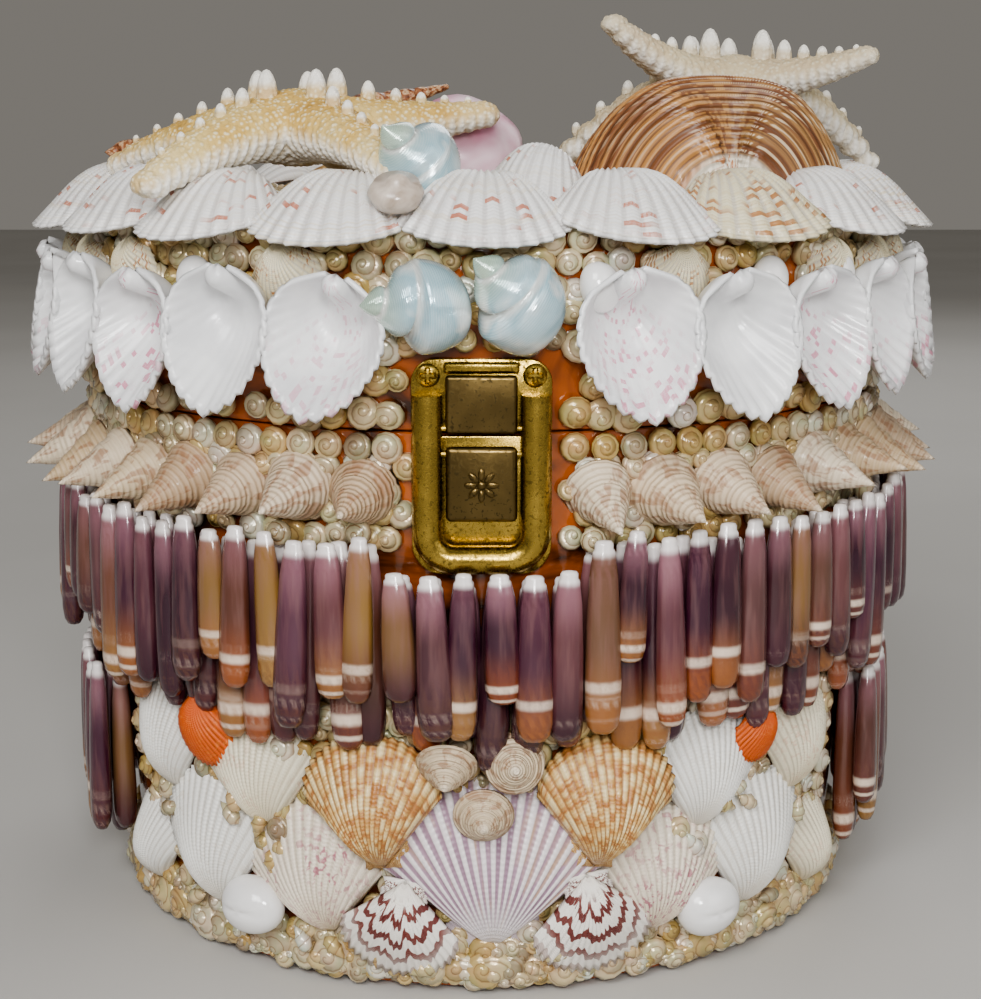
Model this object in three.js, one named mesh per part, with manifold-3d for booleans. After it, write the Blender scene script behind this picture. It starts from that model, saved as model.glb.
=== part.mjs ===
// A round hinged box covered with sea shells, in millimetres, +Z up.
// The box stands on the floor at z = 0, its axis is the Z axis, and its latch faces -Y.

import * as THREE from 'three';
import { mergeVertices } from 'three/addons/utils/BufferGeometryUtils.js';
import Module from 'manifold-3d';

const wasm = await Module();
wasm.setup();

// Driving dimensions of the box
const rimRadius = 138;
const footInset = 9;
const wall = 4;
const floorThickness = 4;
const bodyHeight = 180;
const seam = 0.5;
const lidWallHeight = 55.5;
const lidPlate = 4;
const gap = 0.3;
const drumSides = 40;

// Driving dimensions of the shell rows
const seamBead = 9.4;
const footBead = 14;
const coneWidth = 20.5;
const coneReach = 27;
const coneHeight = 20;
const spineWidth = 10.4;
const spineDepth = 9;
const underSpineWidth = 24;
const sideSpineWidth = 15;
const outerSpineLift = 20;
const sideSpineTip = 46;
const medallionHalfWidth = 142;
const fanLength = 43;
const fanWidth = 51;
const fanDome = 12;
const fanSlope = 16;
const fanOverhang = 23;
const fanSpacing = 50.6;
const cupLength = 40;
const cupWidth = 42;
const cupDepth = 17;
const cupSpacing = 33;
const cupLean = 10;
const cupBesideLatch = 20;
const rowBesideHinge = 18;
const cupBesideHinge = 61;

// Driving dimensions of the latch and of the hinge
const latchWidth = 41;
const latchDrop = 42;
const strikeRise = 21.5;
const latchPlate = 1.6;
const frameTube = 8.5;
const frameRise = 12.5;
const leverWidth = 21;
const leverLength = 24.5;
const leverThickness = 4.6;
const tongueLength = 18.5;
const tongueThickness = 3;
const pinRadius = 0.8;
const pinPlay = 0.08;
const screwRadius = 3.5;
const hingeWidth = 44;
const hingeLeafHeight = 17;
const hingeLeafThickness = 1.5;
const hingePinRadius = 1.5;
const knuckleRadius = 3.2;

const footRadius = rimRadius - footInset;
const seamTop = bodyHeight + seam;
const latchBottom = bodyHeight - latchDrop;
const latchTop = seamTop + strikeRise;
const frameTop = seamTop + frameRise;
const medallionTop = bodyHeight / 2;
const lidTop = seamTop + lidWallHeight + lidPlate;
const degree = Math.PI / 180;
const taper = Math.atan2(footInset, bodyHeight) / degree;

function wallRadius(height) {
  const share = Math.min(1, height / bodyHeight);
  return footRadius + footInset * share;
}

// The angle from the front, in degrees, of a point this far along the wall
function angleAlong(distance, radius) {
  return distance / radius / degree;
}

// The angle from the front or back of a point this far beside the middle
function angleBeside(distance) {
  return Math.asin(distance / rimRadius) / degree;
}

const finish = {
  lacquer: new THREE.MeshStandardMaterial({ color: 0x9a4a12, roughness: 0.3 }),
  pearl: new THREE.MeshStandardMaterial({ color: 0xd8c9a4, roughness: 0.3 }),
  cone: new THREE.MeshStandardMaterial({ color: 0xc9a983, roughness: 0.6 }),
  spine: new THREE.MeshStandardMaterial({ color: 0x6d3f49, roughness: 0.45 }),
  white: new THREE.MeshStandardMaterial({ color: 0xf0eeea, roughness: 0.4 }),
  cream: new THREE.MeshStandardMaterial({ color: 0xe9dcc0, roughness: 0.45 }),
  calico: new THREE.MeshStandardMaterial({ color: 0xd9a866, roughness: 0.45 }),
  pink: new THREE.MeshStandardMaterial({ color: 0xdfb9b4, roughness: 0.4 }),
  violet: new THREE.MeshStandardMaterial({ color: 0xc0aebd, roughness: 0.4 }),
  striped: new THREE.MeshStandardMaterial({ color: 0xc9a59a, roughness: 0.4 }),
  orange: new THREE.MeshStandardMaterial({ color: 0xe2703a, roughness: 0.4 }),
  clam: new THREE.MeshStandardMaterial({ color: 0xa87850, roughness: 0.5 }),
  star: new THREE.MeshStandardMaterial({ color: 0xe4d2a0, roughness: 0.85 }),
  nacre: new THREE.MeshStandardMaterial({ color: 0xb9cdd2, roughness: 0.2, metalness: 0.2 }),
  auger: new THREE.MeshStandardMaterial({ color: 0x7c4228, roughness: 0.45 }),
  brass: new THREE.MeshStandardMaterial({ color: 0x94793a, roughness: 0.35, metalness: 1 }),
  bronze: new THREE.MeshStandardMaterial({ color: 0x5a4a28, roughness: 0.4, metalness: 1 }),
};

const shellBox = new THREE.Group();

function addMesh(name, geometry, material) {
  const mesh = new THREE.Mesh(geometry, material);
  mesh.name = name;
  shellBox.add(mesh);
  return mesh;
}

// Closed meshes from points and faces, and their joins and cuts

function geometryFrom(points, faces) {
  const geometry = new THREE.BufferGeometry();
  geometry.setAttribute('position', new THREE.Float32BufferAttribute(points.flat(), 3));
  const triangles = [];
  for (const face of faces) {
    for (let k = 2; k < face.length; k++) triangles.push(face[0], face[k - 1], face[k]);
  }
  geometry.setIndex(triangles);
  return dropThinTriangles(mergeVertices(geometry, 1e-4));
}

function dropThinTriangles(geometry) {
  const index = geometry.getIndex().array;
  const kept = [];
  for (let k = 0; k < index.length; k += 3) {
    const [a, b, c] = [index[k], index[k + 1], index[k + 2]];
    if (a !== b && b !== c && a !== c) kept.push(a, b, c);
  }
  geometry.setIndex(kept);
  return geometry;
}

function solidOf(geometry) {
  const bare = geometry.clone();
  bare.deleteAttribute('normal');
  bare.deleteAttribute('uv');
  const merged = dropThinTriangles(mergeVertices(bare, 1e-4));
  return new wasm.Manifold(new wasm.Mesh({
    numProp: 3,
    vertProperties: new Float32Array(merged.getAttribute('position').array),
    triVerts: new Uint32Array(merged.getIndex().array),
  }));
}

function geometryOf(solid) {
  const mesh = solid.getMesh();
  const geometry = new THREE.BufferGeometry();
  geometry.setAttribute('position', new THREE.Float32BufferAttribute(mesh.vertProperties, 3));
  geometry.setIndex(Array.from(mesh.triVerts));
  return geometry;
}

function join(solids) {
  return solids.reduce((sum, solid) => sum.add(solid));
}

function largestBody(solid) {
  const bodies = solid.decompose();
  return bodies.reduce((best, body) => (body.volume() > best.volume() ? body : best));
}

function moved(geometry, matrix) {
  return geometry.clone().applyMatrix4(matrix);
}

// The room that a piece takes up: widened and raised by the amount, and as far below its back
function roomFor(geometry, matrix, amount) {
  geometry.computeBoundingBox();
  const size = geometry.boundingBox.getSize(new THREE.Vector3());
  const base = geometry.boundingBox.getCenter(new THREE.Vector3()).setZ(geometry.boundingBox.min.z);
  const widen = new THREE.Matrix4().makeTranslation(base.x, base.y, base.z);
  widen.scale(new THREE.Vector3(1 + 2 * amount / size.x, 1 + 2 * amount / size.y, 1 + amount / size.z));
  widen.multiply(new THREE.Matrix4().makeTranslation(-base.x, -base.y, -base.z));
  const wide = moved(geometry, widen);
  const sunk = moved(wide, new THREE.Matrix4().makeTranslation(0, 0, -amount));
  return solidOf(moved(wide, matrix)).add(solidOf(moved(sunk, matrix)));
}

function boxesMeet(a, b) {
  const boxA = a.boundingBox();
  const boxB = b.boundingBox();
  return [0, 1, 2].every((k) => boxA.min[k] < boxB.max[k] && boxB.min[k] < boxA.max[k]);
}

// Pieces glued over each other: what is in front is placed first and stays whole,
// and what lies behind it is cut back to leave the clearance.
const clearance = 0.6;
const obstacles = [];

function addFitted(name, geometry, matrix, material) {
  let solid = solidOf(moved(geometry, matrix));
  for (const obstacle of obstacles) {
    if (boxesMeet(solid, obstacle)) solid = solid.subtract(obstacle);
  }
  solid = largestBody(solid);
  obstacles.push(roomFor(geometry, matrix, clearance));
  addMesh(name, geometryOf(solid), material);
}

// Frames: on the wall the local x runs along the wall, y upwards and z outwards

function onWall({ angle, height, lift = 0, turn = 0, lean = taper }) {
  const matrix = new THREE.Matrix4().makeRotationZ(angle * degree);
  const radius = wallRadius(height) + gap + lift;
  matrix.multiply(new THREE.Matrix4().makeTranslation(0, -radius, height));
  matrix.multiply(new THREE.Matrix4().makeRotationX((90 + lean) * degree));
  return matrix.multiply(new THREE.Matrix4().makeRotationZ(turn * degree));
}

// On the lid the front pieces keep their inset from the rim's front
function onLid({ x, inset, y = inset - rimRadius, lift = 0, turn = 0, tilt = 0 }) {
  const matrix = new THREE.Matrix4().makeTranslation(x, y, lidTop + gap + lift);
  matrix.multiply(new THREE.Matrix4().makeRotationZ(turn * degree));
  return matrix.multiply(new THREE.Matrix4().makeRotationX(tilt * degree));
}

// A domed bivalve with a flat back, its beak at -y and its margin at +y.
// The outline is an ellipse with its lower end drawn to the beak, and the ribs run from the beak.
// A fullness under 1 gives a dome that rises more steeply from its margin.
function bivalve({
  length, width, dome, ribs = 5, spread = 62, crimp = 0.05, rings = [0.45], fullness = 1,
}) {
  const spokes = 2 * ribs;
  const steps = [...rings, 1];
  const points = [[0, -length / 2, 0]];
  for (const step of steps) {
    for (let k = 0; k <= spokes; k++) {
      const across = (2 * k) / spokes - 1;
      const angle = across * spread * degree;
      const ridge = k % 2 === 1 ? 1 : 1 - crimp;
      const reach = length * Math.cos(angle) * step * (step === 1 ? ridge : 1);
      const arch = Math.sqrt(1 - across * across) * Math.sin(Math.PI * Math.pow(step, 0.75));
      const bulge = dome * Math.pow(Math.max(0, arch), fullness);
      points.push([
        (reach * Math.sin(angle) * width) / length,
        reach * Math.cos(angle) - length / 2,
        step === 1 ? 0 : bulge * ridge,
      ]);
    }
  }
  const row = spokes + 1;
  const faces = [];
  for (let k = 1; k < row; k++) faces.push([0, k + 1, k]);
  for (let s = 1; s < steps.length; s++) {
    const low = 1 + (s - 1) * row;
    const high = 1 + s * row;
    for (let k = 0; k < spokes; k++) {
      faces.push([low + k, low + k + 1, high + k + 1], [low + k, high + k + 1, high + k]);
    }
  }
  const centre = points.push([0, 0, 0]) - 1;
  const margin = 1 + (steps.length - 1) * row;
  const loop = [0];
  for (let s = 0; s < steps.length; s++) loop.push(1 + s * row);
  for (let k = 1; k < row; k++) loop.push(margin + k);
  for (let s = steps.length - 2; s >= 0; s--) loop.push(1 + s * row + spokes);
  for (let k = 0; k < loop.length; k++) faces.push([centre, loop[k], loop[(k + 1) % loop.length]]);
  return geometryFrom(points, faces);
}

// A hollow valve that shows its inside, with its beak at +y and its rim at z = depth
function cup({ length, width, depth, thickness = 2, ribs = 3, spread = 66 }) {
  const spokes = 2 * ribs;
  const row = spokes + 1;
  const points = [[0, length / 2, depth]];
  const level = (share, across) => depth * (1 - share * Math.sqrt(1 - across * across));
  for (const [step, share, shell] of [[1, 0, 0], [0.45, 1, 0], [0.45, 1, thickness]]) {
    for (let k = 0; k <= spokes; k++) {
      const across = (2 * k) / spokes - 1;
      const angle = across * spread * degree;
      const reach = length * Math.cos(angle) * step;
      const inward = Math.abs(across) < 1 ? shell : 0;
      points.push([
        (-reach * Math.sin(angle) * width) / length,
        length / 2 - reach * Math.cos(angle),
        level(share, across) + inward,
      ]);
    }
  }
  const rim = 1;
  const outer = 1 + row;
  const inner = 1 + 2 * row;
  const faces = [];
  for (let k = 0; k < spokes; k++) {
    faces.push([0, outer + k, outer + k + 1]);
    faces.push([outer + k, rim + k, rim + k + 1], [outer + k, rim + k + 1, outer + k + 1]);
    faces.push([0, inner + k + 1, inner + k]);
    faces.push([inner + k, rim + k + 1, rim + k], [inner + k, inner + k + 1, rim + k + 1]);
  }
  return geometryFrom(points, faces);
}

// A turned shell: a closed profile of [radius, height] pairs spun about the local z axis
function turned(profile, sides) {
  const spun = new THREE.LatheGeometry(profile.map(([r, z]) => new THREE.Vector2(r, z)), sides);
  return spun.rotateX(Math.PI / 2);
}

function limpet(diameter, height) {
  const r = diameter / 2;
  return turned([[0, 0], [r, 0], [0.62 * r, 0.62 * height], [0, height]], 8);
}

function turban(diameter) {
  const r = diameter / 2;
  return turned([
    [0, -0.75 * r], [0.7 * r, -0.6 * r], [r, 0], [0.62 * r, 0.62 * r],
    [0.5 * r, 1.0 * r], [0.24 * r, 1.22 * r], [0, 1.5 * r],
  ], 9);
}

function auger(diameter, length) {
  const r = diameter / 2;
  return turned([
    [0, 0], [0.8 * r, 0.04 * length], [r, 0.22 * length], [0.55 * r, 0.6 * length], [0, length],
  ], 7);
}

function egg(width, height, depth) {
  const profile = [[0, -0.5], [0.36, -0.35], [0.5, 0], [0.36, 0.35], [0, 0.5]];
  return turned(profile, 8).scale(width, depth, height).rotateX(-Math.PI / 2);
}

// The drum and its lid

function drum(profile) {
  return turned(profile, drumSides);
}

const innerFoot = footRadius - wall;
addMesh('box_body', drum([
  [0, 0],
  [footRadius, 0],
  [rimRadius, bodyHeight],
  [rimRadius - wall, bodyHeight],
  [innerFoot, floorThickness],
  [0, floorThickness],
]), finish.lacquer);

addMesh('lid', drum([
  [0, lidTop - lidPlate],
  [rimRadius - wall, lidTop - lidPlate],
  [rimRadius - wall, seamTop],
  [rimRadius, seamTop],
  [rimRadius, lidTop],
  [0, lidTop],
]), finish.lacquer);

// Rows of studs: beads or pointed shells side by side around the wall

function studRow({ from, to, width, height, centre, base, rise, drop = 0, skirt, margin = 0 }) {
  const full = to - from >= 360;
  const arc = (to - from) * degree * base;
  const count = Math.round(arc / width);
  const points = [];
  const faces = [];
  const ring = (angle, radius, z) => [
    radius * Math.sin(angle * degree), -radius * Math.cos(angle * degree), z,
  ];
  const columns = full ? count : count + 1;
  const low = centre - height / 2 - margin;
  const high = centre + height / 2 + margin;
  for (let k = 0; k < columns; k++) {
    const angle = from + ((to - from) * k) / count;
    points.push(ring(angle, base - margin, low), ring(angle, base - margin, high));
    points.push(ring(angle, base + skirt + margin, low), ring(angle, base + skirt + margin, high));
  }
  for (let k = 0; k < count; k++) {
    const angle = from + ((to - from) * (k + 0.5)) / count;
    const apex = points.push(ring(angle, base + rise + margin, centre - drop)) - 1;
    const a = 4 * k;
    const b = 4 * ((k + 1) % columns);
    faces.push([a + 2, b + 2, apex], [b + 2, b + 3, apex], [b + 3, a + 3, apex], [a + 3, a + 2, apex]);
    faces.push([a, b, b + 2, a + 2], [a + 3, b + 3, b + 1, a + 1], [a + 1, b + 1, b, a]);
  }
  if (!full) {
    const last = 4 * count;
    faces.push([0, 2, 3, 1], [last + 1, last + 3, last + 2, last]);
  }
  return geometryFrom(points, faces);
}

const latchHalfAngle = angleBeside(latchWidth / 2 + 1.5);
const hingeHalfAngle = angleBeside(hingeWidth / 2 + rowBesideHinge);
const seamBeadHeight = seamBead - 1.4;
const seamBeadCentre = bodyHeight - 0.6 - seamBeadHeight / 2;
const coneCentre = seamBeadCentre - seamBeadHeight / 2 - gap - coneHeight / 2;
const spineTop = coneCentre - coneHeight / 2 - gap;
for (const [side, turn] of [['right', 0], ['left', 1]]) {
  const from = turn === 0 ? latchHalfAngle : 180 + hingeHalfAngle;
  const to = turn === 0 ? 180 - hingeHalfAngle : 360 - latchHalfAngle;
  addMesh(`seam_beads_${side}`, studRow({
    from,
    to,
    width: seamBead,
    height: seamBeadHeight,
    centre: seamBeadCentre,
    base: rimRadius + gap,
    rise: 8,
    skirt: 2,
  }), finish.pearl);
  addMesh(`cone_shells_${side}`, studRow({
    from,
    to,
    width: coneWidth,
    height: coneHeight,
    centre: coneCentre,
    base: rimRadius + gap,
    rise: coneReach,
    drop: coneHeight / 4,
    skirt: 1.5,
  }), finish.cone);
}

const footBeadHeight = footBead - 2;
const footBeads = {
  from: 0,
  to: 360,
  width: footBead,
  height: footBeadHeight,
  centre: footBeadHeight / 2 + gap,
  base: wallRadius(footBeadHeight + 2 * gap) + 2 * gap,
  rise: 8,
  skirt: 3,
};
addMesh('foot_beads', studRow(footBeads), finish.pearl);
obstacles.push(solidOf(studRow({ ...footBeads, margin: clearance })));

// Fringes: spines side by side, each a ridge that ends in a point, uneven in length

function unevenness(k) {
  return 0.5 + 0.3 * Math.sin(2.4 * k + 0.7) + 0.2 * Math.sin(5.1 * k);
}

function fringe({ from, to, width, inner, depth, top, tip, spread, notch = 0, notchTop = top, margin = 0 }) {
  const full = to - from >= 360;
  const arc = (to - from) * degree * (inner + depth);
  const count = Math.round(arc / width);
  const columns = full ? count : count + 1;
  const pitch = (to - from) / count;
  const tipOf = (k) => tip - spread * unevenness(((k % count) + count) % count) - 4 * margin;
  const topAt = (angle) => {
    const away = Math.min(angle, 360 - angle);
    return (away < notch + pitch ? notchTop : top) + margin;
  };
  const points = [];
  const faces = [];
  const ring = (angle, radius, z) => [
    radius * Math.sin(angle * degree), -radius * Math.cos(angle * degree), z,
  ];
  const shoulder = 0.9 * width;
  for (let k = 0; k < columns; k++) {
    const angle = from + pitch * k;
    const ends = [];
    if (full || k > 0) ends.push(tipOf(k - 1));
    if (full || k < count) ends.push(tipOf(k));
    const bottom = Math.max(...ends) + shoulder;
    points.push(ring(angle, inner - margin, topAt(angle)), ring(angle, inner - margin, bottom));
    points.push(ring(angle, inner + 0.35 * depth + margin, topAt(angle)));
    points.push(ring(angle, inner + 0.35 * depth + margin, bottom));
  }
  for (let k = 0; k < count; k++) {
    const angle = from + pitch * (k + 0.5);
    const ridge = points.push(ring(angle, inner + depth + margin, topAt(angle))) - 1;
    const point = points.push(ring(angle, inner + 0.75 * depth + margin, tipOf(k))) - 1;
    const a = 4 * k;
    const b = 4 * ((k + 1) % columns);
    faces.push([a + 2, a + 3, point, ridge], [ridge, point, b + 3, b + 2]);
    faces.push([a, a + 2, ridge], [a, ridge, b], [ridge, b + 2, b]);
    faces.push([a + 3, a + 1, point], [a + 1, b + 1, point], [point, b + 1, b + 3]);
    faces.push([a + 1, a, b, b + 1]);
  }
  if (!full) {
    const last = 4 * count;
    faces.push([0, 1, 3, 2], [last + 2, last + 3, last + 1, last]);
  }
  return geometryFrom(points, faces);
}

const notch = latchHalfAngle;
const underSpines = {
  from: 0,
  to: 360,
  width: underSpineWidth,
  inner: wallRadius(spineTop) + 2 * gap,
  depth: spineDepth,
  top: spineTop,
  tip: medallionTop,
  spread: 8,
  notch,
  notchTop: latchBottom - 1,
};
const outerSpines = {
  from: 0,
  to: 360,
  width: spineWidth,
  inner: underSpines.inner + underSpines.depth + gap,
  depth: spineDepth,
  top: spineTop,
  tip: medallionTop + outerSpineLift,
  spread: 22,
  notch,
  notchTop: latchBottom - 1,
};
const medallionRadius = wallRadius(medallionTop / 2);
const medallionHalfAngle = angleAlong(medallionHalfWidth, medallionRadius);
const sideSpines = {
  from: medallionHalfAngle,
  to: 360 - medallionHalfAngle,
  width: sideSpineWidth,
  inner: wallRadius(medallionTop) + gap,
  depth: 2 * spineDepth,
  top: medallionTop - 8,
  tip: sideSpineTip,
  spread: 22,
};
const fringes = [['spines_under', underSpines], ['spines_outer', outerSpines], ['spines_sides', sideSpines]];
for (const [name, row] of fringes) {
  addMesh(name, fringe(row), finish.spine);
  obstacles.push(solidOf(fringe({ ...row, margin: clearance })));
}

// The lid's edge: fans side by side, lying over the corner, margins outwards and down

const fanCount = Math.round((2 * Math.PI * (rimRadius + fanOverhang)) / fanSpacing);
const fanMiddle = rimRadius + fanOverhang - (fanLength / 2) * Math.cos(fanSlope * degree);
const fanLift = gap + (rimRadius - fanMiddle) * Math.tan(fanSlope * degree) + 0.3;
const fan = bivalve({
  length: fanLength, width: fanWidth, dome: fanDome, ribs: 4, spread: 66, crimp: 0.06,
});

function fanPlace(k) {
  const matrix = new THREE.Matrix4().makeRotationZ((k * 360 * degree) / fanCount);
  matrix.multiply(new THREE.Matrix4().makeTranslation(0, -fanMiddle, lidTop + fanLift));
  matrix.multiply(new THREE.Matrix4().makeRotationX(fanSlope * degree));
  return matrix.multiply(new THREE.Matrix4().makeRotationZ(Math.PI));
}

const fans = [];
for (let k = 0; k < fanCount; k++) {
  fans.push(solidOf(moved(fan, fanPlace(k))));
  obstacles.push(roomFor(fan, fanPlace(k), clearance));
}
addMesh('lid_edge_fans', geometryOf(join(fans)), finish.white);

// Two pearly turbans above the latch
const turbanHeight = latchTop + 16;
addFitted('turban_left', turban(27.5), onWall({
  angle: -7.6, height: turbanHeight, lift: 12.8, lean: -10, turn: 75,
}).multiply(new THREE.Matrix4().makeRotationX(-65 * degree)), finish.nacre);
addFitted('turban_right', turban(28), onWall({
  angle: 4.2, height: turbanHeight - 0.5, lift: 12.8, lean: -10, turn: 35,
}).multiply(new THREE.Matrix4().makeRotationX(-65 * degree)), finish.nacre);

// The lid's side: hollow valves that hang in a row each side of the latch

const cupHeight = seamTop + 5 + cupLength / 2;
const cupPitch = angleAlong(cupSpacing, rimRadius + cupDepth / 2);
const firstCup = angleBeside(latchWidth / 2 + cupBesideLatch);
const lastCup = 180 - angleBeside(hingeWidth / 2 + cupBesideHinge);
const cupShell = cup({ length: cupLength, width: cupWidth, depth: cupDepth });
for (const [side, sign] of [['right', 1], ['left', -1]]) {
  const cups = [];
  for (let angle = firstCup; angle <= lastCup; angle += cupPitch) {
    const place = onWall({ angle: sign * angle, height: cupHeight, lift: 4, lean: -cupLean, turn: sign * 8 });
    cups.push(solidOf(moved(cupShell, place)));
  }
  let row = join(cups);
  for (const obstacle of obstacles) {
    if (boxesMeet(row, obstacle)) row = row.subtract(obstacle);
  }
  addMesh(`cup_shells_${side}`, geometryOf(largestBody(row)), finish.white);
}

// The front of the body: bivalves, limpets and cowries glued over each other, front ones first

// Each is placed by its distance along the wall and its rise, a share of the medallion's height
function onMedallion({ along, rise, drop = 0, ...more }) {
  const angle = angleAlong(along, medallionRadius);
  return onWall({ angle, height: rise * medallionTop - drop, ...more });
}

const limpets = [
  { name: 'limpet_left', along: -9.6, drop: 0 },
  { name: 'limpet_right', along: 8.7, drop: 0 },
  { name: 'limpet_low', along: 0.5, drop: 16 },
];
for (const { name, along, drop } of limpets) {
  addFitted(name, limpet(18, 10), onMedallion({ along, rise: 0.89, drop, lift: 9 }), finish.cone);
}

const up = 0;
const down = 180;
const valves = [
  {
    name: 'scallop_striped_left', along: -24.7, rise: 0.256, lift: 6, turn: down - 8,
    length: 32, width: 35, dome: 8, material: finish.striped,
  },
  {
    name: 'scallop_striped_right', along: 33.4, rise: 0.267, lift: 6, turn: down + 8,
    length: 33, width: 37, dome: 8, material: finish.striped,
  },
  {
    name: 'scallop_calico_left', along: -31.8, rise: 0.722, lift: 6, turn: up + 8,
    length: 44, width: 45, dome: 13, ribs: 7, material: finish.calico,
  },
  {
    name: 'scallop_calico_right', along: 36.2, rise: 0.722, lift: 6, turn: up - 8,
    length: 44, width: 45, dome: 13, ribs: 7, material: finish.calico,
  },
  {
    name: 'scallop_centre', along: 3.2, rise: 0.489, turn: up,
    length: 56, width: 66, dome: 10, ribs: 8, spread: 58, material: finish.violet,
  },
  {
    name: 'scallop_pink_left', along: -51.5, rise: 0.411, turn: up + 12,
    length: 42, width: 38, dome: 9, material: finish.pink,
  },
  {
    name: 'scallop_pink_right', along: 55.4, rise: 0.4, turn: up - 12,
    length: 40, width: 36, dome: 9, material: finish.pink,
  },
  {
    name: 'scallop_orange_left', along: -90.5, rise: 0.889, lift: 5, turn: down,
    length: 25, width: 25, dome: 7, ribs: 4, material: finish.orange,
  },
  {
    name: 'scallop_orange_right', along: 89.3, rise: 0.878, lift: 5, turn: down,
    length: 21, width: 18, dome: 6, ribs: 4, material: finish.orange,
  },
  {
    name: 'scallop_cream_left', along: -72.2, rise: 0.778, turn: up + 12,
    length: 40, width: 34, dome: 8, material: finish.cream,
  },
  {
    name: 'scallop_cream_right', along: 72.2, rise: 0.767, turn: up - 12,
    length: 38, width: 32, dome: 8, material: finish.cream,
  },
  {
    name: 'scallop_white_left', along: -93.9, rise: 0.422, turn: up + 14,
    length: 42, width: 38, dome: 9, material: finish.white,
  },
  {
    name: 'scallop_white_right', along: 95.1, rise: 0.422, turn: up - 14,
    length: 42, width: 38, dome: 9, material: finish.white,
  },
  {
    name: 'scallop_outer_left', along: -115.7, rise: 0.789, turn: up + 10,
    length: 38, width: 32, dome: 8, material: finish.cream,
  },
  {
    name: 'scallop_outer_right', along: 115.7, rise: 0.778, turn: up - 10,
    length: 38, width: 32, dome: 8, material: finish.cream,
  },
  {
    name: 'cockle_foot_left', along: -129.4, rise: 0.3, turn: up + 10,
    length: 29, width: 27, dome: 9, ribs: 4, material: finish.cream,
  },
  {
    name: 'cockle_foot_right', along: 128.3, rise: 0.289, turn: up - 10,
    length: 29, width: 27, dome: 9, ribs: 4, material: finish.cream,
  },
];
for (const { name, along, rise, lift = 0, turn, material, ...shape } of valves) {
  addFitted(name, bivalve(shape), onMedallion({ along, rise, lift, turn }), material);
}
for (const [name, along] of [['cowrie_left', -74.7], ['cowrie_right', 71.9]]) {
  addFitted(name, egg(23, 19, 16), onMedallion({ along, rise: 0.25, lift: 8.6 }), finish.white);
}

// The lid's top

const clamShape = {
  length: 74, width: 96, dome: 43, ribs: 6, spread: 78, crimp: 0, rings: [0.25, 0.6, 0.88], fullness: 0.6,
};

// A knobbly starfish: arms and knobs round a raised middle, each arm bent down at its tip
function starfish({ reach, tips, thickness }) {
  const parts = [];
  for (const { angle, drop, length = reach } of tips) {
    parts.push(solidOf(armGeometry(angle, length, drop, thickness)));
    const knob = turned([[0, 0], [3.2, 0], [2.4, 6], [0, 9]], 4);
    const out = 0.24 * length;
    knob.translate(
      out * Math.cos(angle * degree),
      out * Math.sin(angle * degree),
      0.42 * thickness - 0.12 * drop,
    );
    parts.push(solidOf(knob));
  }
  return geometryOf(join(parts));
}

function armGeometry(angle, length, drop, thickness) {
  const sections = [[-0.16, 0.66, 1], [0.42, 0.62, 0.85], [0.95, 0.3, 0.42]];
  const section = [[-1, -0.35], [1, -0.35], [0.45, 0.45], [-0.45, 0.45]];
  const sides = section.length;
  const points = [];
  const faces = [];
  for (const [share, wide, tall] of sections) {
    const sink = drop * Math.max(0, share) ** 2;
    for (const [side, height] of section) {
      points.push([share * length, side * wide * thickness * 0.8, height * tall * thickness - sink]);
    }
  }
  for (let s = 0; s + 1 < sections.length; s++) {
    for (let k = 0; k < sides; k++) {
      const [here, there, next] = [sides * s, sides * (s + 1), (k + 1) % sides];
      faces.push([here + k, here + next, there + next, there + k]);
    }
  }
  const end = sides * (sections.length - 1);
  faces.push([3, 2, 1, 0], [end, end + 1, end + 2, end + 3]);
  return geometryFrom(points, faces).rotateZ(angle * degree);
}

addFitted('turban_top', turban(27), onLid({
  x: -18, inset: 17, lift: 17, tilt: 20, turn: -35,
}), finish.nacre);
addFitted('button_snail', limpet(16, 8), onLid({ x: -24, inset: -5, lift: 6.5, tilt: 25 }), finish.cone);
addFitted('clam', bivalve(clamShape), onLid({ x: 74, inset: 89, turn: 6 }), finish.clam);
addFitted('tellin', egg(42, 34, 18), onLid({ x: -8, inset: 80, lift: 20, tilt: 90 }), finish.pink);
addFitted('starfish_right', starfish({
  reach: 66,
  thickness: 22,
  tips: [
    { angle: 205, drop: -18, length: 50 },
    { angle: 335, drop: -8, length: 48 },
    { angle: 158, drop: 36, length: 76 },
    { angle: 24, drop: 27, length: 60 },
    { angle: 92, drop: 41 },
  ],
}), onLid({ x: 86, inset: 114, lift: 43 }), finish.star);
addFitted('starfish_left', starfish({
  reach: 72,
  thickness: 24,
  tips: [
    { angle: 154, drop: 12 },
    { angle: 226, drop: 16, length: 60 },
    { angle: 305, drop: 12, length: 62 },
    { angle: 8, drop: -4, length: 62 },
    { angle: 82, drop: 12 },
  ],
}), onLid({ x: -58, inset: 60, lift: 27 }), finish.star);
addFitted('cockle_grey', bivalve({
  length: 38, width: 42, dome: 22,
}), onLid({ x: 15, inset: 40, turn: 150 }), finish.violet);
addFitted('auger_brown', auger(15, 52), onLid({
  x: -58, inset: 130, lift: 28, turn: -65, tilt: -76,
}), finish.auger);
addFitted('auger_red', auger(11, 42), onLid({
  x: 6 - rimRadius, inset: 120, lift: 18, turn: -70, tilt: -92,
}), finish.auger);
addFitted('scallop_top_left', bivalve({
  length: 70, width: 72, dome: 16, ribs: 6,
}), onLid({ x: -48, y: rimRadius - 76, turn: 40 }), finish.calico);
addFitted('scallop_top_right', bivalve({
  length: 58, width: 60, dome: 14,
}), onLid({ x: 40, y: rimRadius - 58, turn: -25 }), finish.white);

// The latch: a plate with a raised frame on the body, a strike plate on the lid,
// and between the frame's arms a tongue and a lever, each on a pin of its own

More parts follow.
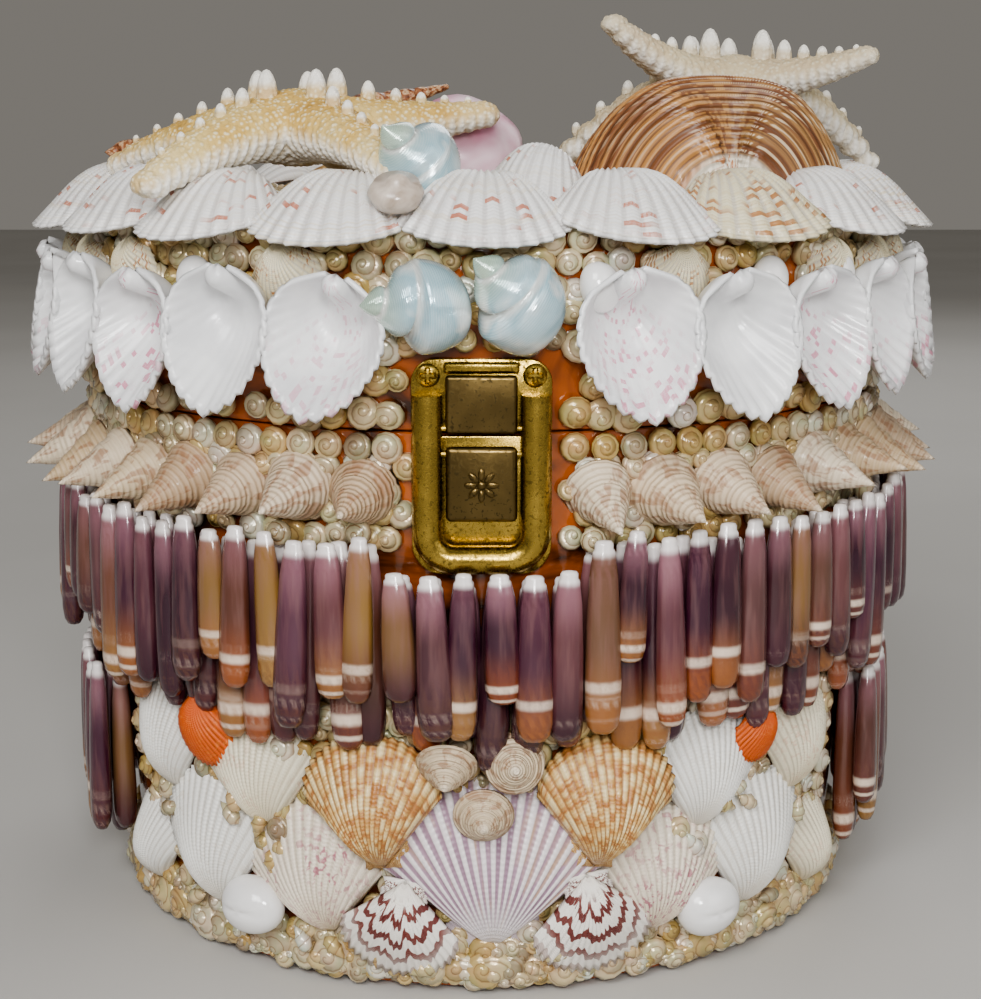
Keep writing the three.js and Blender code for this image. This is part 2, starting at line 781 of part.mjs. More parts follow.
function slab(outline, thickness) {
  const shape = new THREE.Shape(outline.map(([x, y]) => new THREE.Vector2(x, y)));
  return new THREE.ExtrudeGeometry(shape, { depth: thickness, bevelEnabled: false });
}

// A rectangle from bottom to top with its lower and upper corners rounded
function roundedPlate({ width, bottom, top, lower, upper }) {
  const half = width / 2;
  const outline = [];
  const corners = [
    [half - lower, bottom + lower, lower, -90], [half - upper, top - upper, upper, 0],
    [upper - half, top - upper, upper, 90], [lower - half, bottom + lower, lower, 180],
  ];
  for (const [x, y, radius, start] of corners) {
    for (const turn of radius > 1 ? [0, 45, 90] : [45]) {
      const angle = (start + turn) * degree;
      outline.push([x + radius * Math.cos(angle), y + radius * Math.sin(angle)]);
    }
  }
  return outline;
}

function rod(radius, length, sides) {
  return new THREE.CylinderGeometry(radius, radius, length, sides).rotateZ(Math.PI / 2);
}

function facingFront(geometry, radius) {
  return geometry.rotateX(Math.PI / 2).translate(0, -radius, 0);
}

const plateBack = rimRadius + gap;
const plateFront = plateBack + latchPlate;
const armInner = leverWidth / 2 + gap;
const armOuter = latchWidth / 2 - 1;
const frameBack = plateFront;
const frameFront = plateFront + frameTube;
const leverMiddle = plateFront + gap + leverThickness / 2 + 1;
const leverAxisHeight = seamTop - 3.4 - leverThickness / 2;
const tongueAxisHeight = seamTop + 0.2 + tongueThickness / 2;
const tongueMiddle = plateFront + gap + tongueThickness / 2 + 1.2;
const strikeBottom = seamTop + 0.3;

const basePlate = facingFront(slab(roundedPlate({
  width: latchWidth, bottom: latchBottom, top: bodyHeight - 0.5, lower: 9, upper: 0.5,
}), latchPlate), plateBack);

function frameSolid() {
  const bottomBar = latchBottom + 1.2;
  const opening = latchBottom + 12;
  const outer = roundedPlate({ width: 2 * armOuter, bottom: bottomBar, top: frameTop, lower: 9, upper: 3 });
  const inner = roundedPlate({
    width: 2 * armInner, bottom: opening, top: frameTop + 10, lower: 4, upper: 0.5,
  });
  const full = solidOf(facingFront(slab(outer, frameTube - 3.2), frameBack + gap));
  const crown = roundedPlate({
    width: 2 * armOuter - 4, bottom: bottomBar + 2, top: frameTop - 2, lower: 8, upper: 2,
  });
  const ridge = solidOf(facingFront(slab(crown, frameTube - gap), frameBack + gap));
  const hole = solidOf(facingFront(slab(inner, frameTube + 4), frameBack - 1));
  return full.add(ridge).subtract(hole);
}

const bores = [
  solidOf(rod(pinRadius + gap, 2 * armOuter - 5, 8).translate(0, -leverMiddle, leverAxisHeight)),
  solidOf(rod(pinRadius + gap, 2 * armOuter - 5, 8).translate(0, -tongueMiddle, tongueAxisHeight)),
];
const foot = solidOf(facingFront(slab(roundedPlate({
  width: 2 * armOuter, bottom: latchBottom + 1.2, top: bodyHeight - 0.5, lower: 9, upper: 0.5,
}), 2 * gap), plateFront - gap / 2));
const footHole = solidOf(facingFront(slab(roundedPlate({
  width: 2 * armInner, bottom: latchBottom + 12, top: bodyHeight + 5, lower: 4, upper: 0.5,
}), 4), plateFront + 0.01));
let latchBase = solidOf(basePlate).add(foot.subtract(footHole)).add(frameSolid());
for (const bore of bores) latchBase = latchBase.subtract(bore);
addMesh('latch_base', geometryOf(latchBase), finish.brass);

const strike = solidOf(facingFront(slab(roundedPlate({
  width: latchWidth, bottom: strikeBottom, top: latchTop, lower: 0.5, upper: 7,
}), latchPlate - gap), plateBack));
addMesh('latch_strike', geometryOf(strike), finish.brass);

// A flap seen from the side: a round knuckle about its axis and a plate that leaves it
function flap({ width, length, thickness, middle, axisHeight, sign }) {
  const r = thickness / 2;
  const outline = [];
  for (const turn of [0, 45, 90, 135, 180]) {
    outline.push([r * Math.cos(turn * degree), r * Math.sin(turn * degree)]);
  }
  outline.push([-r, -length + thickness], [r - 1, -length + thickness], [r, -length + thickness + 1]);
  const side = slab(outline, width).translate(0, 0, -width / 2);
  side.rotateY(Math.PI / 2);
  side.rotateX(Math.PI / 2);
  if (sign > 0) side.rotateX(Math.PI);
  side.translate(0, -middle, axisHeight);
  return solidOf(side);
}

function flapWithPin(name, pinName, options) {
  const { middle, axisHeight } = options;
  const bore = solidOf(rod(pinRadius + pinPlay, 60, 8).translate(0, -middle, axisHeight));
  addMesh(name, geometryOf(flap(options).subtract(bore)), finish.bronze);
  const pin = rod(pinRadius, 2 * armOuter - 5 - 2 * gap, 8);
  addMesh(pinName, pin.translate(0, -middle, axisHeight), finish.brass);
}

flapWithPin('latch_lever', 'latch_lever_pin', {
  width: leverWidth, length: leverLength, thickness: leverThickness,
  middle: leverMiddle, axisHeight: leverAxisHeight, sign: -1,
});
flapWithPin('latch_tongue', 'latch_tongue_pin', {
  width: leverWidth, length: tongueLength, thickness: tongueThickness,
  middle: tongueMiddle, axisHeight: tongueAxisHeight, sign: 1,
});

for (const [side, sign] of [['left', -1], ['right', 1]]) {
  const screw = turned([[0, 0], [screwRadius, 0], [0.75 * screwRadius, 1], [0, 1.3]], 8);
  screw.rotateX(Math.PI / 2);
  screw.translate(sign * (latchWidth / 2 - 5), -(plateFront), frameTop + 4.2);
  addMesh(`latch_screw_${side}`, screw, finish.brass);
}

// The hinge at the back: a leaf on the body, a leaf on the lid and their pin

const hingeAxisY = rimRadius + gap + knuckleRadius;
const hingeAxisZ = bodyHeight + seam / 2;

function leaf({ sign, spans }) {
  const near = knuckleRadius + gap;
  const leafY = rimRadius + gap + hingeLeafThickness / 2;
  const plate = (width, x, low, high) => {
    const box = new THREE.BoxGeometry(width, hingeLeafThickness, high - low);
    return solidOf(box.translate(x, leafY, hingeAxisZ + (sign * (low + high)) / 2));
  };
  let solid = plate(hingeWidth, 0, near, hingeLeafHeight);
  for (const [start, end] of spans) {
    const middle = (start + end) / 2;
    const knuckle = rod(knuckleRadius, end - start, 12).translate(middle, hingeAxisY, hingeAxisZ);
    solid = solid.add(solidOf(knuckle)).add(plate(end - start, middle, 0.3, near + 1));
  }
  const bore = rod(hingePinRadius + pinPlay, hingeWidth + 4, 12).translate(0, hingeAxisY, hingeAxisZ);
  return solid.subtract(solidOf(bore));
}

const third = hingeWidth / 6;
addMesh('hinge_leaf_body', geometryOf(leaf({
  sign: -1, spans: [[-hingeWidth / 2, -third - gap / 2], [third + gap / 2, hingeWidth / 2]],
})), finish.brass);
addMesh('hinge_leaf_lid', geometryOf(leaf({
  sign: 1, spans: [[-third + gap / 2, third - gap / 2]],
})), finish.brass);
const hingePin = rod(hingePinRadius, hingeWidth + 2, 12);
addMesh('hinge_pin', hingePin.translate(0, hingeAxisY, hingeAxisZ), finish.brass);

export default shellBox;
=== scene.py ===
"""A round box covered with sea shells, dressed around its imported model."""

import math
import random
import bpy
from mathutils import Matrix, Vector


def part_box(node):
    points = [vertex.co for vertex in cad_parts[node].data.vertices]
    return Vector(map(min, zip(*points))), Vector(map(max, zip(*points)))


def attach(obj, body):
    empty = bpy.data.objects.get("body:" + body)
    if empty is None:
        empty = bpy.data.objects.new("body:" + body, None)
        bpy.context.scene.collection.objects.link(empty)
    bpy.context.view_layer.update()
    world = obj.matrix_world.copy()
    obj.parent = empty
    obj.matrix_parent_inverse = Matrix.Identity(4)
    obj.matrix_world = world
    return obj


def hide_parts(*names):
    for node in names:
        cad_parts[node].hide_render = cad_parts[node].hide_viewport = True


bl_info = {
    "name": "Shell Box",
    "version": (1, 0, 0),
    "blender": (4, 5, 0),
    "location": "View3D > Sidebar > Shell Box",
    "description": "Shells, spines, starfish and brass for a round lidded shell box",
    "category": "Object",
}

import bpy
import numpy as np
from bpy.props import FloatProperty, FloatVectorProperty, IntProperty
from mathutils import Matrix, Vector

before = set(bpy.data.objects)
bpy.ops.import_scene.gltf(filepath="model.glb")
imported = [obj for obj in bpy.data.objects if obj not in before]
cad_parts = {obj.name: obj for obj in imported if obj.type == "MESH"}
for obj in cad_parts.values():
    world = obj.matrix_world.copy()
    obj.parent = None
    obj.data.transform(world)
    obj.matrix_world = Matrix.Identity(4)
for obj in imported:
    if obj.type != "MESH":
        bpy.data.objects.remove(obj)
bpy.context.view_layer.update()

MM = 0.001
TAU = 2 * math.pi
BODY_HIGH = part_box("box_body")[1]
LID_LOW, LID_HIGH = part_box("lid")
LATCH_LOW, LATCH_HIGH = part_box("latch_base")

# Heights and radii of the drum, in millimetres, and the lean of its tapered wall, in degrees
RIM = BODY_HIGH[0] / MM
SEAM = BODY_HIGH[2] / MM
LID_BASE = LID_LOW[2] / MM
LID_TOP = LID_HIGH[2] / MM
FOOT_BEADS_PROUD = 9.4
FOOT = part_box("foot_beads")[1][0] / MM - FOOT_BEADS_PROUD
WALL = 4.0
WALL_LEAN = 2.9

# Points nearer than this are merged, in a mould's millimetres and in a piece's metres
MOULD_WELD, PIECE_WELD = 1e-3, 1e-6

# Stretches of the wall that stay free of snails, in degrees from the front and from the back
LATCH_ANGLE = math.degrees(math.asin(22 / RIM))
HINGE_ANGLE = 17

# The hanging valves on one side, in degrees from the front
CUP_START, CUP_STEP, CUP_COUNT = 17, 13, 10
CUP_ANGLES = [CUP_START + CUP_STEP * k for k in range(CUP_COUNT)]

# Turns of a turban's spire, and growth rings on the clam, which the paint follows
TURBAN_WHORLS = 3.6
CLAM_RINGS = 27

# The latch's brass and the camera, from the photograph
LATCH_WIDTH = 41.0
FLAP_WIDTH = 20.8
SENSOR_WIDTH = 36
FOCAL_PIXELS, FRAME_PIXELS = 1765, 999


def wall_radius(height):
    """The outside radius of the wall at a height, in millimetres."""
    return FOOT + (RIM - FOOT) * min(1, height / SEAM)


def middle_of(node):
    """The middle of a CAD node's box, in millimetres."""
    low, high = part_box(node)
    return [(a + b) / 2 / MM for a, b in zip(low, high)]


def top_of(node):
    """The top of a CAD node's box, in millimetres."""
    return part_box(node)[1][2] / MM


class ShellBoxSizes(bpy.types.PropertyGroup):
    """The sizes of the repeated shells."""

    bead: FloatProperty(
        name="Snail bead", description="Width of a small snail", default=9.4 * MM, unit="LENGTH")
    foot_bead: FloatProperty(
        name="Foot snail", description="Width of a foot snail", default=13 * MM, unit="LENGTH")
    spine: FloatProperty(
        name="Spine", description="Length of a long spine", default=64 * MM, unit="LENGTH")
    spine_width: FloatProperty(
        name="Spine width", description="Width of a spine", default=10.8 * MM, unit="LENGTH")
    cone: FloatProperty(
        name="Top shell", description="Width of a pointed top shell", default=20.5 * MM, unit="LENGTH")
    fan: FloatProperty(
        name="Edge cockle", description="Width of a cockle on the edge", default=50 * MM, unit="LENGTH")
    cup: FloatProperty(
        name="Hanging valve", description="Length of a hanging valve", default=41 * MM, unit="LENGTH")
    seed: IntProperty(name="Seed", description="Seed of the natural variation", default=7)


class ShellBoxColours(bpy.types.PropertyGroup):
    """The colours that set the box's character."""

    lacquer: FloatVectorProperty(
        name="Lacquer", description="Lacquer on the wall", subtype="COLOR", default=(0.24, 0.055, 0.005))
    pearl: FloatVectorProperty(
        name="Pearl", description="Small snails", subtype="COLOR", default=(0.64, 0.50, 0.26))
    nacre: FloatVectorProperty(
        name="Nacre", description="Turban shells", subtype="COLOR", default=(0.55, 0.72, 0.78))
    spine: FloatVectorProperty(
        name="Spine", description="Dark of the spines", subtype="COLOR", default=(0.035, 0.006, 0.018))
    star: FloatVectorProperty(
        name="Starfish", description="Dried starfish", subtype="COLOR", default=(0.62, 0.41, 0.12))
    brass: FloatVectorProperty(
        name="Brass", description="Antique brass", subtype="COLOR", default=(0.36, 0.25, 0.06))


def sizes():
    """The sizes set in the scene."""
    return bpy.context.scene.shell_box_sizes


def colours():
    """The colours set in the scene."""
    return bpy.context.scene.shell_box_colours


# Materials


class Paint:
    """A material with short calls for its nodes."""

    def __init__(self, name, **surface):
        self.material = bpy.data.materials.new(name)
        self.material.use_nodes = True
        self.tree = self.material.node_tree
        self.shader = self.tree.nodes["Principled BSDF"]
        for socket, value in surface.items():
            self.shader.inputs[socket.replace("_", " ")].default_value = value

    def node(self, kind, settings=None, **inputs):
        made = self.tree.nodes.new(kind)
        for key, value in (settings or {}).items():
            setattr(made, key, value)
        for key, value in inputs.items():
            self.feed(made.inputs[key.replace("_", " ")], value)
        return made

    def feed(self, socket, value):
        """Links a socket to the value, or sets the value on it."""
        if isinstance(value, bpy.types.NodeSocket):
            self.tree.links.new(value, socket)
        else:
            socket.default_value = value

    def math(self, operation, first, second=0.0, third=0.0):
        made = self.tree.nodes.new("ShaderNodeMath")
        made.operation = operation
        for socket, value in zip(made.inputs, (first, second, third)):
            self.feed(socket, value)
        return made.outputs[0]

    def times(self, first, second):
        return self.math("MULTIPLY", first, second)

    def plus(self, first, second):
        return self.math("ADD", first, second)

    def minus(self, first, second):
        return self.math("SUBTRACT", first, second)

    def rest_of(self, share):
        """1 less the share."""
        return self.minus(1.0, share)

    def cells(self, value, count):
        """The number of the cell that a value falls in, of so many from 0 to 1."""
        return self.math("FLOOR", self.times(value, count))

    def rib_number(self, across, ribs):
        """The number of the rib nearest to a place across the shell."""
        return self.math("FLOOR", self.plus(self.times(across, ribs), 0.5))

    def sine(self, value, rate):
        """The sine of a value times its rate."""
        return self.math("SINE", self.times(value, rate))

    def mix(self, share, first, second):
        """The second colour laid over the first by its share."""
        made = self.tree.nodes.new("ShaderNodeMix")
        made.data_type = "RGBA"
        self.feed(made.inputs[0], share)
        for socket, value in ((made.inputs[6], first), (made.inputs[7], second)):
            self.feed(socket, rgba(value))
        return made.outputs[2]

    def ramp(self, share, stops):
        """A colour band of (place, colour) stops."""
        made = self.tree.nodes.new("ShaderNodeValToRGB")
        band = made.color_ramp
        while len(band.elements) < len(stops):
            band.elements.new(0.5)
        for element, (place, colour) in zip(band.elements, stops):
            element.position = place
            element.color = rgba(colour)
        self.feed(made.inputs[0], share)
        return made.outputs[0]

    def step(self, value, low, high):
        """0 below low, 1 above high and smooth between."""
        made = self.tree.nodes.new("ShaderNodeMapRange")
        made.interpolation_type = "SMOOTHSTEP"
        for socket, number in zip(made.inputs, (value, low, high, 0.0, 1.0)):
            self.feed(socket, number)
        return made.outputs[0]

    def place(self, stretch=(1, 1, 1)):
        """Places on the object, stretched where a pattern is."""
        coordinates = self.node("ShaderNodeTexCoord").outputs["Object"]
        return self.node("ShaderNodeMapping", Vector=coordinates, Scale=stretch).outputs[0]

    def noise(self, vector, scale, detail=3.0, distortion=0.0):
        return self.node(
            "ShaderNodeTexNoise", Vector=vector, Scale=scale, Detail=detail,
            Distortion=distortion).outputs[0]

    def across_along(self):
        """Across and along the shell, from its UV map."""
        parts = self.node("ShaderNodeSeparateXYZ", Vector=self.node("ShaderNodeUVMap").outputs[0])
        return parts.outputs[0], parts.outputs[1]

    def tint(self, name="tint"):
        """A number stored on the mesh, such as the tint that each copy has."""
        return self.node("ShaderNodeAttribute", {"attribute_name": name}).outputs["Fac"]

    def vector(self, x, y, z=0.0):
        return self.node("ShaderNodeCombineXYZ", X=x, Y=y, Z=z).outputs[0]

    def chance(self, vector):
        """A random number for each different vector."""
        return self.node("ShaderNodeTexWhiteNoise", Vector=vector).outputs[0]

    def colour(self, socket):
        self.feed(self.shader.inputs["Base Color"], socket)

    def rough(self, socket):
        self.feed(self.shader.inputs["Roughness"], socket)

    def grooves(self, across, ribs):
        """1 in the grooves between a shell's ribs, and 0 on the ribs; the paints lay painted shade there.
        """
        wave = self.math("COSINE", self.times(across, TAU * ribs))
        return self.rest_of(self.step(wave, -0.95, -0.2))

    def growth_lines(self, along, rate, distance=0.00015, strength=0.4):
        """Fine raised lines that follow the shell's margin."""
        self.bump(self.sine(along, rate), distance, strength)

    def bump(self, height, distance, strength=1.0):
        made = self.node("ShaderNodeBump", Strength=strength, Distance=distance, Height=height)
        self.feed(self.shader.inputs["Normal"], made.outputs[0])


def rgba(value):
    """A colour with its alpha, or the socket that carries one."""
    if isinstance(value, bpy.types.NodeSocket) or len(value) == 4:
        return value
    return (*value, 1.0)


def lacquer_paint():
    """Glossy amber lacquer, mottled like tortoiseshell."""
    paint = Paint("amber lacquer", Roughness=0.16, Coat_Weight=0.6, Coat_Roughness=0.08)
    warped = paint.noise(paint.place((1, 1, 1.6)), 26, 5, 1.6)
    base = colours().lacquer
    dark = [0.16 * channel for channel in base]
    bright = [min(1, 1.9 * channel) for channel in base]
    paint.colour(paint.ramp(warped, [(0.34, dark), (0.46, base), (0.62, bright), (0.7, base)]))
    paint.bump(paint.noise(paint.place(), 300, 2), 0.0002, 0.3)
    return paint.material


def lining_paint():
    """Plain wood inside the box, its grain upright."""
    paint = Paint("bare wood inside", Roughness=0.7)
    grain = paint.noise(paint.place((1, 1, 0.08)), 90, 5, 0.5)
    paint.colour(paint.ramp(grain, [(0.3, (0.30, 0.17, 0.08)), (0.7, (0.44, 0.28, 0.14))]))
    paint.bump(grain, 0.0003, 0.4)
    return paint.material


def pearl_paint(name="pearly snails", dark=0.0):
    """Small snails: a spiral line over a pearly skin that goes from silver to gold."""
    paint = Paint(name, Roughness=0.24, Metallic=0.18, Coat_Weight=0.5, Coat_Roughness=0.1)
    across, along = paint.across_along()
    tint = paint.tint()
    base = colours().pearl
    family = paint.ramp(tint, [
        (0.0, (0.74, 0.71, 0.62)), (0.3, base), (0.55, (0.50, 0.34, 0.12)),
        (0.75, (0.70, 0.60, 0.40)), (1.0, (0.33, 0.27, 0.17))])
    cloudy = paint.noise(paint.place(), 160, 2)
    sheen = paint.ramp(cloudy, [(0.3, (0.95, 0.78, 0.82)), (0.5, (1, 1, 1)), (0.7, (0.76, 0.93, 0.86))])
    tinted = paint.node("ShaderNodeMix", {"data_type": "RGBA", "blend_type": "MULTIPLY"})
    paint.feed(tinted.inputs[0], 0.7)
    paint.feed(tinted.inputs[6], family)
    paint.feed(tinted.inputs[7], sheen)
    turn = paint.minus(paint.times(along, 3.4), across)
    wave = paint.math("ABSOLUTE", paint.sine(turn, math.pi))
    line = paint.rest_of(paint.step(wave, 0.0, 0.42))
    seen = paint.times(line, 0.62 + dark)
    paint.colour(paint.mix(seen, tinted.outputs[2], (0.24, 0.13, 0.05)))
    paint.bump(wave, 0.0006, 0.5)
    return paint.material


def nacre_paint():
    """Polished turbans: blue and silver, green at the tip, with a pale line along the spire's seam."""
    paint = Paint("blue nacre", Roughness=0.16, Metallic=0.28, Coat_Weight=0.7, Coat_Roughness=0.06)
    across, along = paint.across_along()
    drift = paint.noise(paint.place(), 42, 3, 1.2)
    blue = colours().nacre
    skin = paint.ramp(drift, [
        (0.25, (0.86, 0.87, 0.84)), (0.42, blue), (0.55, (0.38, 0.58, 0.66)), (0.7, (0.90, 0.90, 0.86))])
    tip = paint.rest_of(paint.step(along, 0.1, 0.42))
    skin = paint.mix(paint.times(tip, 0.7), skin, (0.42, 0.52, 0.34))
    whorl = paint.minus(paint.times(along, TURBAN_WHORLS), across)
    seam = paint.math("ABSOLUTE", paint.sine(whorl, math.pi))
    seam = paint.rest_of(paint.step(seam, 0.1, 0.4))
    seam = paint.times(seam, paint.rest_of(paint.step(along, 0.5, 0.62)))
    skin = paint.mix(paint.times(seam, 0.8), skin, (0.80, 0.80, 0.76))
    lines = paint.sine(along, 420.0)
    pale = paint.times(paint.step(lines, 0.2, 1.0), 0.16)
    paint.colour(paint.mix(pale, skin, (0.97, 0.96, 0.93)))
    paint.bump(lines, 0.00012, 0.3)
    return paint.material


def cockle_paint(name, ground, mark, rows=15.0, ribs=19.0, share=0.8, strength=0.85):
    """A ribbed valve with short coloured dashes in rows, and painted shade in its grooves."""
    paint = Paint(name, Roughness=0.36, Coat_Weight=0.2)
    across, along = paint.across_along()
    tint = paint.tint()
    rib = paint.rib_number(across, ribs)
    line = paint.cells(along, rows)
    cell = paint.chance(paint.vector(rib, line, paint.times(tint, 91.0)))
    inside = paint.math("FRACT", paint.times(along, rows))
    dash = paint.math("LESS_THAN", inside, 0.5)
    patch = paint.noise(paint.vector(paint.times(across, 2.2), along, tint), 3.0, 2)
    picked = paint.times(paint.math("GREATER_THAN", cell, share), dash)
    picked = paint.times(picked, paint.step(patch, 0.40, 0.56))
    picked = paint.times(picked, paint.step(along, 0.25, 0.45))
    growth = paint.noise(paint.vector(0.0, paint.times(along, 14.0), tint), 4.0, 2)
    cream = [0.90 * ground[0], 0.80 * ground[1], 0.60 * ground[2]]
    warm = paint.times(paint.step(growth, 0.45, 0.7), paint.plus(0.25, paint.times(tint, 0.6)))
    skin = paint.mix(warm, ground, cream)
    # Painted shade: a grey laid in the grooves between the ribs
    skin = paint.mix(paint.times(paint.grooves(across, ribs), 0.5), skin, (0.45, 0.42, 0.40))
    paint.colour(paint.mix(paint.times(picked, strength), skin, mark))
    paint.growth_lines(along, 260.0, 0.00012, 0.35)
    return paint.material


def cup_paint():
    """The smooth white inside of the hanging valves, some with pink spots."""
    paint = Paint("white hanging valves", Roughness=0.3, Coat_Weight=0.25)
    across, along = paint.across_along()
    tint = paint.tint()
    rib = paint.cells(across, 44.0)
    line = paint.cells(along, 30.0)
    cell = paint.chance(paint.vector(rib, line, paint.times(tint, 57.0)))
    middle = paint.rest_of(paint.step(paint.math("ABSOLUTE", paint.minus(across, 0.5)), 0.1, 0.32))
    spots = paint.times(paint.math("GREATER_THAN", cell, 0.84), middle)
    spots = paint.times(spots, paint.step(tint, 0.35, 0.6))
    soft = paint.noise(paint.place(), 70, 3)
    skin = paint.ramp(soft, [(0.3, (0.70, 0.70, 0.71)), (0.6, (0.84, 0.84, 0.84))])
    paint.colour(paint.mix(paint.times(spots, 0.75), skin, (0.62, 0.13, 0.25)))
    paint.bump(paint.noise(paint.place(), 240, 2), 0.0002, 0.25)
    return paint.material


def calico_paint():
    """Cream and tan ribs with brown patches that the grooves break up, and dark brown painted shade in the
    grooves.
    """
    paint = Paint("calico scallop", Roughness=0.4, Coat_Weight=0.2)
    across, along = paint.across_along()
    rib = paint.math("DIVIDE", paint.rib_number(across, 20.0), 20.0)
    where = paint.vector(paint.times(rib, 9.0), paint.times(along, 6.0), paint.times(paint.tint(), 9.0))
    blotch = paint.noise(where, 1.6, 3, 0.3)
    skin = paint.ramp(blotch, [
        (0.40, (0.78, 0.62, 0.34)), (0.50, (0.66, 0.42, 0.16)), (0.58, (0.42, 0.17, 0.05)),
        (0.66, (0.74, 0.52, 0.24))])
    beak = paint.rest_of(paint.step(along, 0.05, 0.3))
    skin = paint.mix(paint.times(beak, 0.6), skin, (0.50, 0.28, 0.12))
    # Painted shade: dark brown laid in the grooves between the ribs
    paint.colour(paint.mix(paint.times(paint.grooves(across, 20.0), 0.75), skin, (0.30, 0.13, 0.04)))
    paint.growth_lines(along, 230.0)
    return paint.material


def violet_paint():
    """The central scallop: pale ribs and violet grooves."""
    paint = Paint("violet scallop", Roughness=0.36, Coat_Weight=0.2)
    across, along = paint.across_along()
    wave = paint.math("COSINE", paint.times(across, TAU * 22))
    groove = paint.rest_of(paint.step(wave, -0.5, 0.5))
    cloud = paint.noise(paint.vector(paint.times(across, 6.0), along, 0.0), 2.2, 3, 0.6)
    violet = paint.ramp(cloud, [
        (0.3, (0.16, 0.05, 0.12)), (0.55, (0.32, 0.17, 0.26)), (0.72, (0.46, 0.27, 0.12))])
    deep = paint.times(groove, paint.step(along, 0.08, 0.4))
    paint.colour(paint.mix(paint.times(deep, 0.82), (0.78, 0.73, 0.74), violet))
    paint.growth_lines(along, 200.0)
    return paint.material


def striped_paint():
    """White scallops with maroon zigzag stripes."""
    paint = Paint("striped scallop", Roughness=0.36, Coat_Weight=0.2)
    across, along = paint.across_along()
    wobble = paint.noise(paint.vector(paint.times(across, 9.0), along, paint.tint()), 1.5, 2)
    zigzag = paint.math("PINGPONG", paint.times(across, 8.0), 1.0)
    phase = paint.plus(paint.times(along, 4.4), paint.times(zigzag, 0.42))
    phase = paint.plus(phase, paint.times(wobble, 1.4))
    band = paint.step(paint.sine(phase, TAU), 0.25, 0.5)
    maroon = paint.mix(wobble, (0.11, 0.022, 0.026), (0.26, 0.07, 0.05))
    shown = paint.times(band, paint.step(along, 0.1, 0.25))
    shown = paint.times(shown, paint.rest_of(paint.times(paint.step(along, 0.65, 0.95), 0.55)))
    paint.colour(paint.mix(shown, (0.88, 0.84, 0.78), maroon))
    paint.growth_lines(along, 240.0)
    return paint.material


def speckled_paint(name, ground, speck, amount=0.5):
    """A pale ribbed valve with soft specks, stronger towards its margin."""
    paint = Paint(name, Roughness=0.4, Coat_Weight=0.15)
    across, along = paint.across_along()
    where = paint.vector(paint.times(across, 16.0), paint.times(along, 12.0), paint.tint())
    specks = paint.step(paint.noise(where, 1.6, 3, 0.5), 0.52, 0.62)
    broad = paint.step(paint.noise(paint.place(), 60, 2), 0.35, 0.65)
    share = paint.times(paint.times(specks, broad), amount)
    beak = paint.times(paint.rest_of(paint.step(along, 0.1, 0.45)), 0.35)
    skin = paint.mix(beak, ground, [0.9 * ground[0], 0.78 * ground[1], 0.62 * ground[2]])
    shade = [0.55 * ground[0], 0.50 * ground[1], 0.45 * ground[2]]
    skin = paint.mix(paint.times(paint.grooves(across, 20.0), 0.5), skin, shade)
    paint.colour(paint.mix(share, skin, speck))
    paint.growth_lines(along, 240.0, 0.00015, 0.35)
    return paint.material


def spine_paint():
    """Pencil urchin spines: a white collar, a dark shaft and pale bands near the tip."""
    paint = Paint("urchin spines", Roughness=0.22, Coat_Weight=0.5, Coat_Roughness=0.1)
    _, along = paint.across_along()
    tint = paint.tint()
    other = paint.chance(paint.vector(tint, 0.37, 0.0))
    third = paint.chance(paint.vector(tint, 0.81, 0.5))
    dark = colours().spine
    shaft = paint.ramp(tint, [
        (0.0, dark), (0.2, (0.060, 0.012, 0.032)), (0.36, (0.15, 0.055, 0.055)),
        (0.5, (0.035, 0.008, 0.02)), (0.64, (0.15, 0.055, 0.028)), (0.76, (0.09, 0.025, 0.055)),
        (0.88, (0.12, 0.055, 0.04)), (1.0, (0.30, 0.17, 0.04))])
    tip = paint.ramp(other, [
        (0.0, (0.03, 0.005, 0.015)), (0.35, (0.06, 0.012, 0.025)), (0.55, (0.12, 0.03, 0.022)),
        (0.75, (0.34, 0.09, 0.02)), (1.0, (0.36, 0.20, 0.06))])
    streak = paint.noise(paint.place((1, 1, 0.12)), 420, 2)
    shaft = paint.mix(paint.times(paint.step(streak, 0.4, 0.7), 0.3), shaft, (0.24, 0.12, 0.11))
    pale_top = paint.rest_of(paint.step(along, 0.08, 0.42))
    skin = paint.mix(paint.times(pale_top, paint.times(third, 0.75)), shaft, (0.40, 0.20, 0.24))
    skin = paint.mix(paint.times(paint.step(along, 0.5, 0.95), 0.85), skin, tip)
    middle = paint.plus(0.74, paint.times(third, 0.14))
    away = paint.math("ABSOLUTE", paint.minus(along, middle))
    band = paint.rest_of(paint.step(away, 0.012, 0.042))
    second = paint.math("ABSOLUTE", paint.minus(along, paint.plus(middle, 0.09)))
    double = paint.times(paint.rest_of(paint.step(second, 0.004, 0.02)), paint.step(third, 0.5, 0.6))
    band = paint.math("MAXIMUM", band, double)
    band = paint.times(band, paint.step(other, 0.35, 0.5))
    skin = paint.mix(paint.times(band, 0.85), skin, (0.82, 0.68, 0.56))
    collar = paint.rest_of(paint.step(along, 0.05, 0.10))
    paint.colour(paint.mix(paint.times(collar, 0.92), skin, (0.86, 0.82, 0.80)))
    paint.bump(streak, 0.0002, 0.4)
    return paint.material


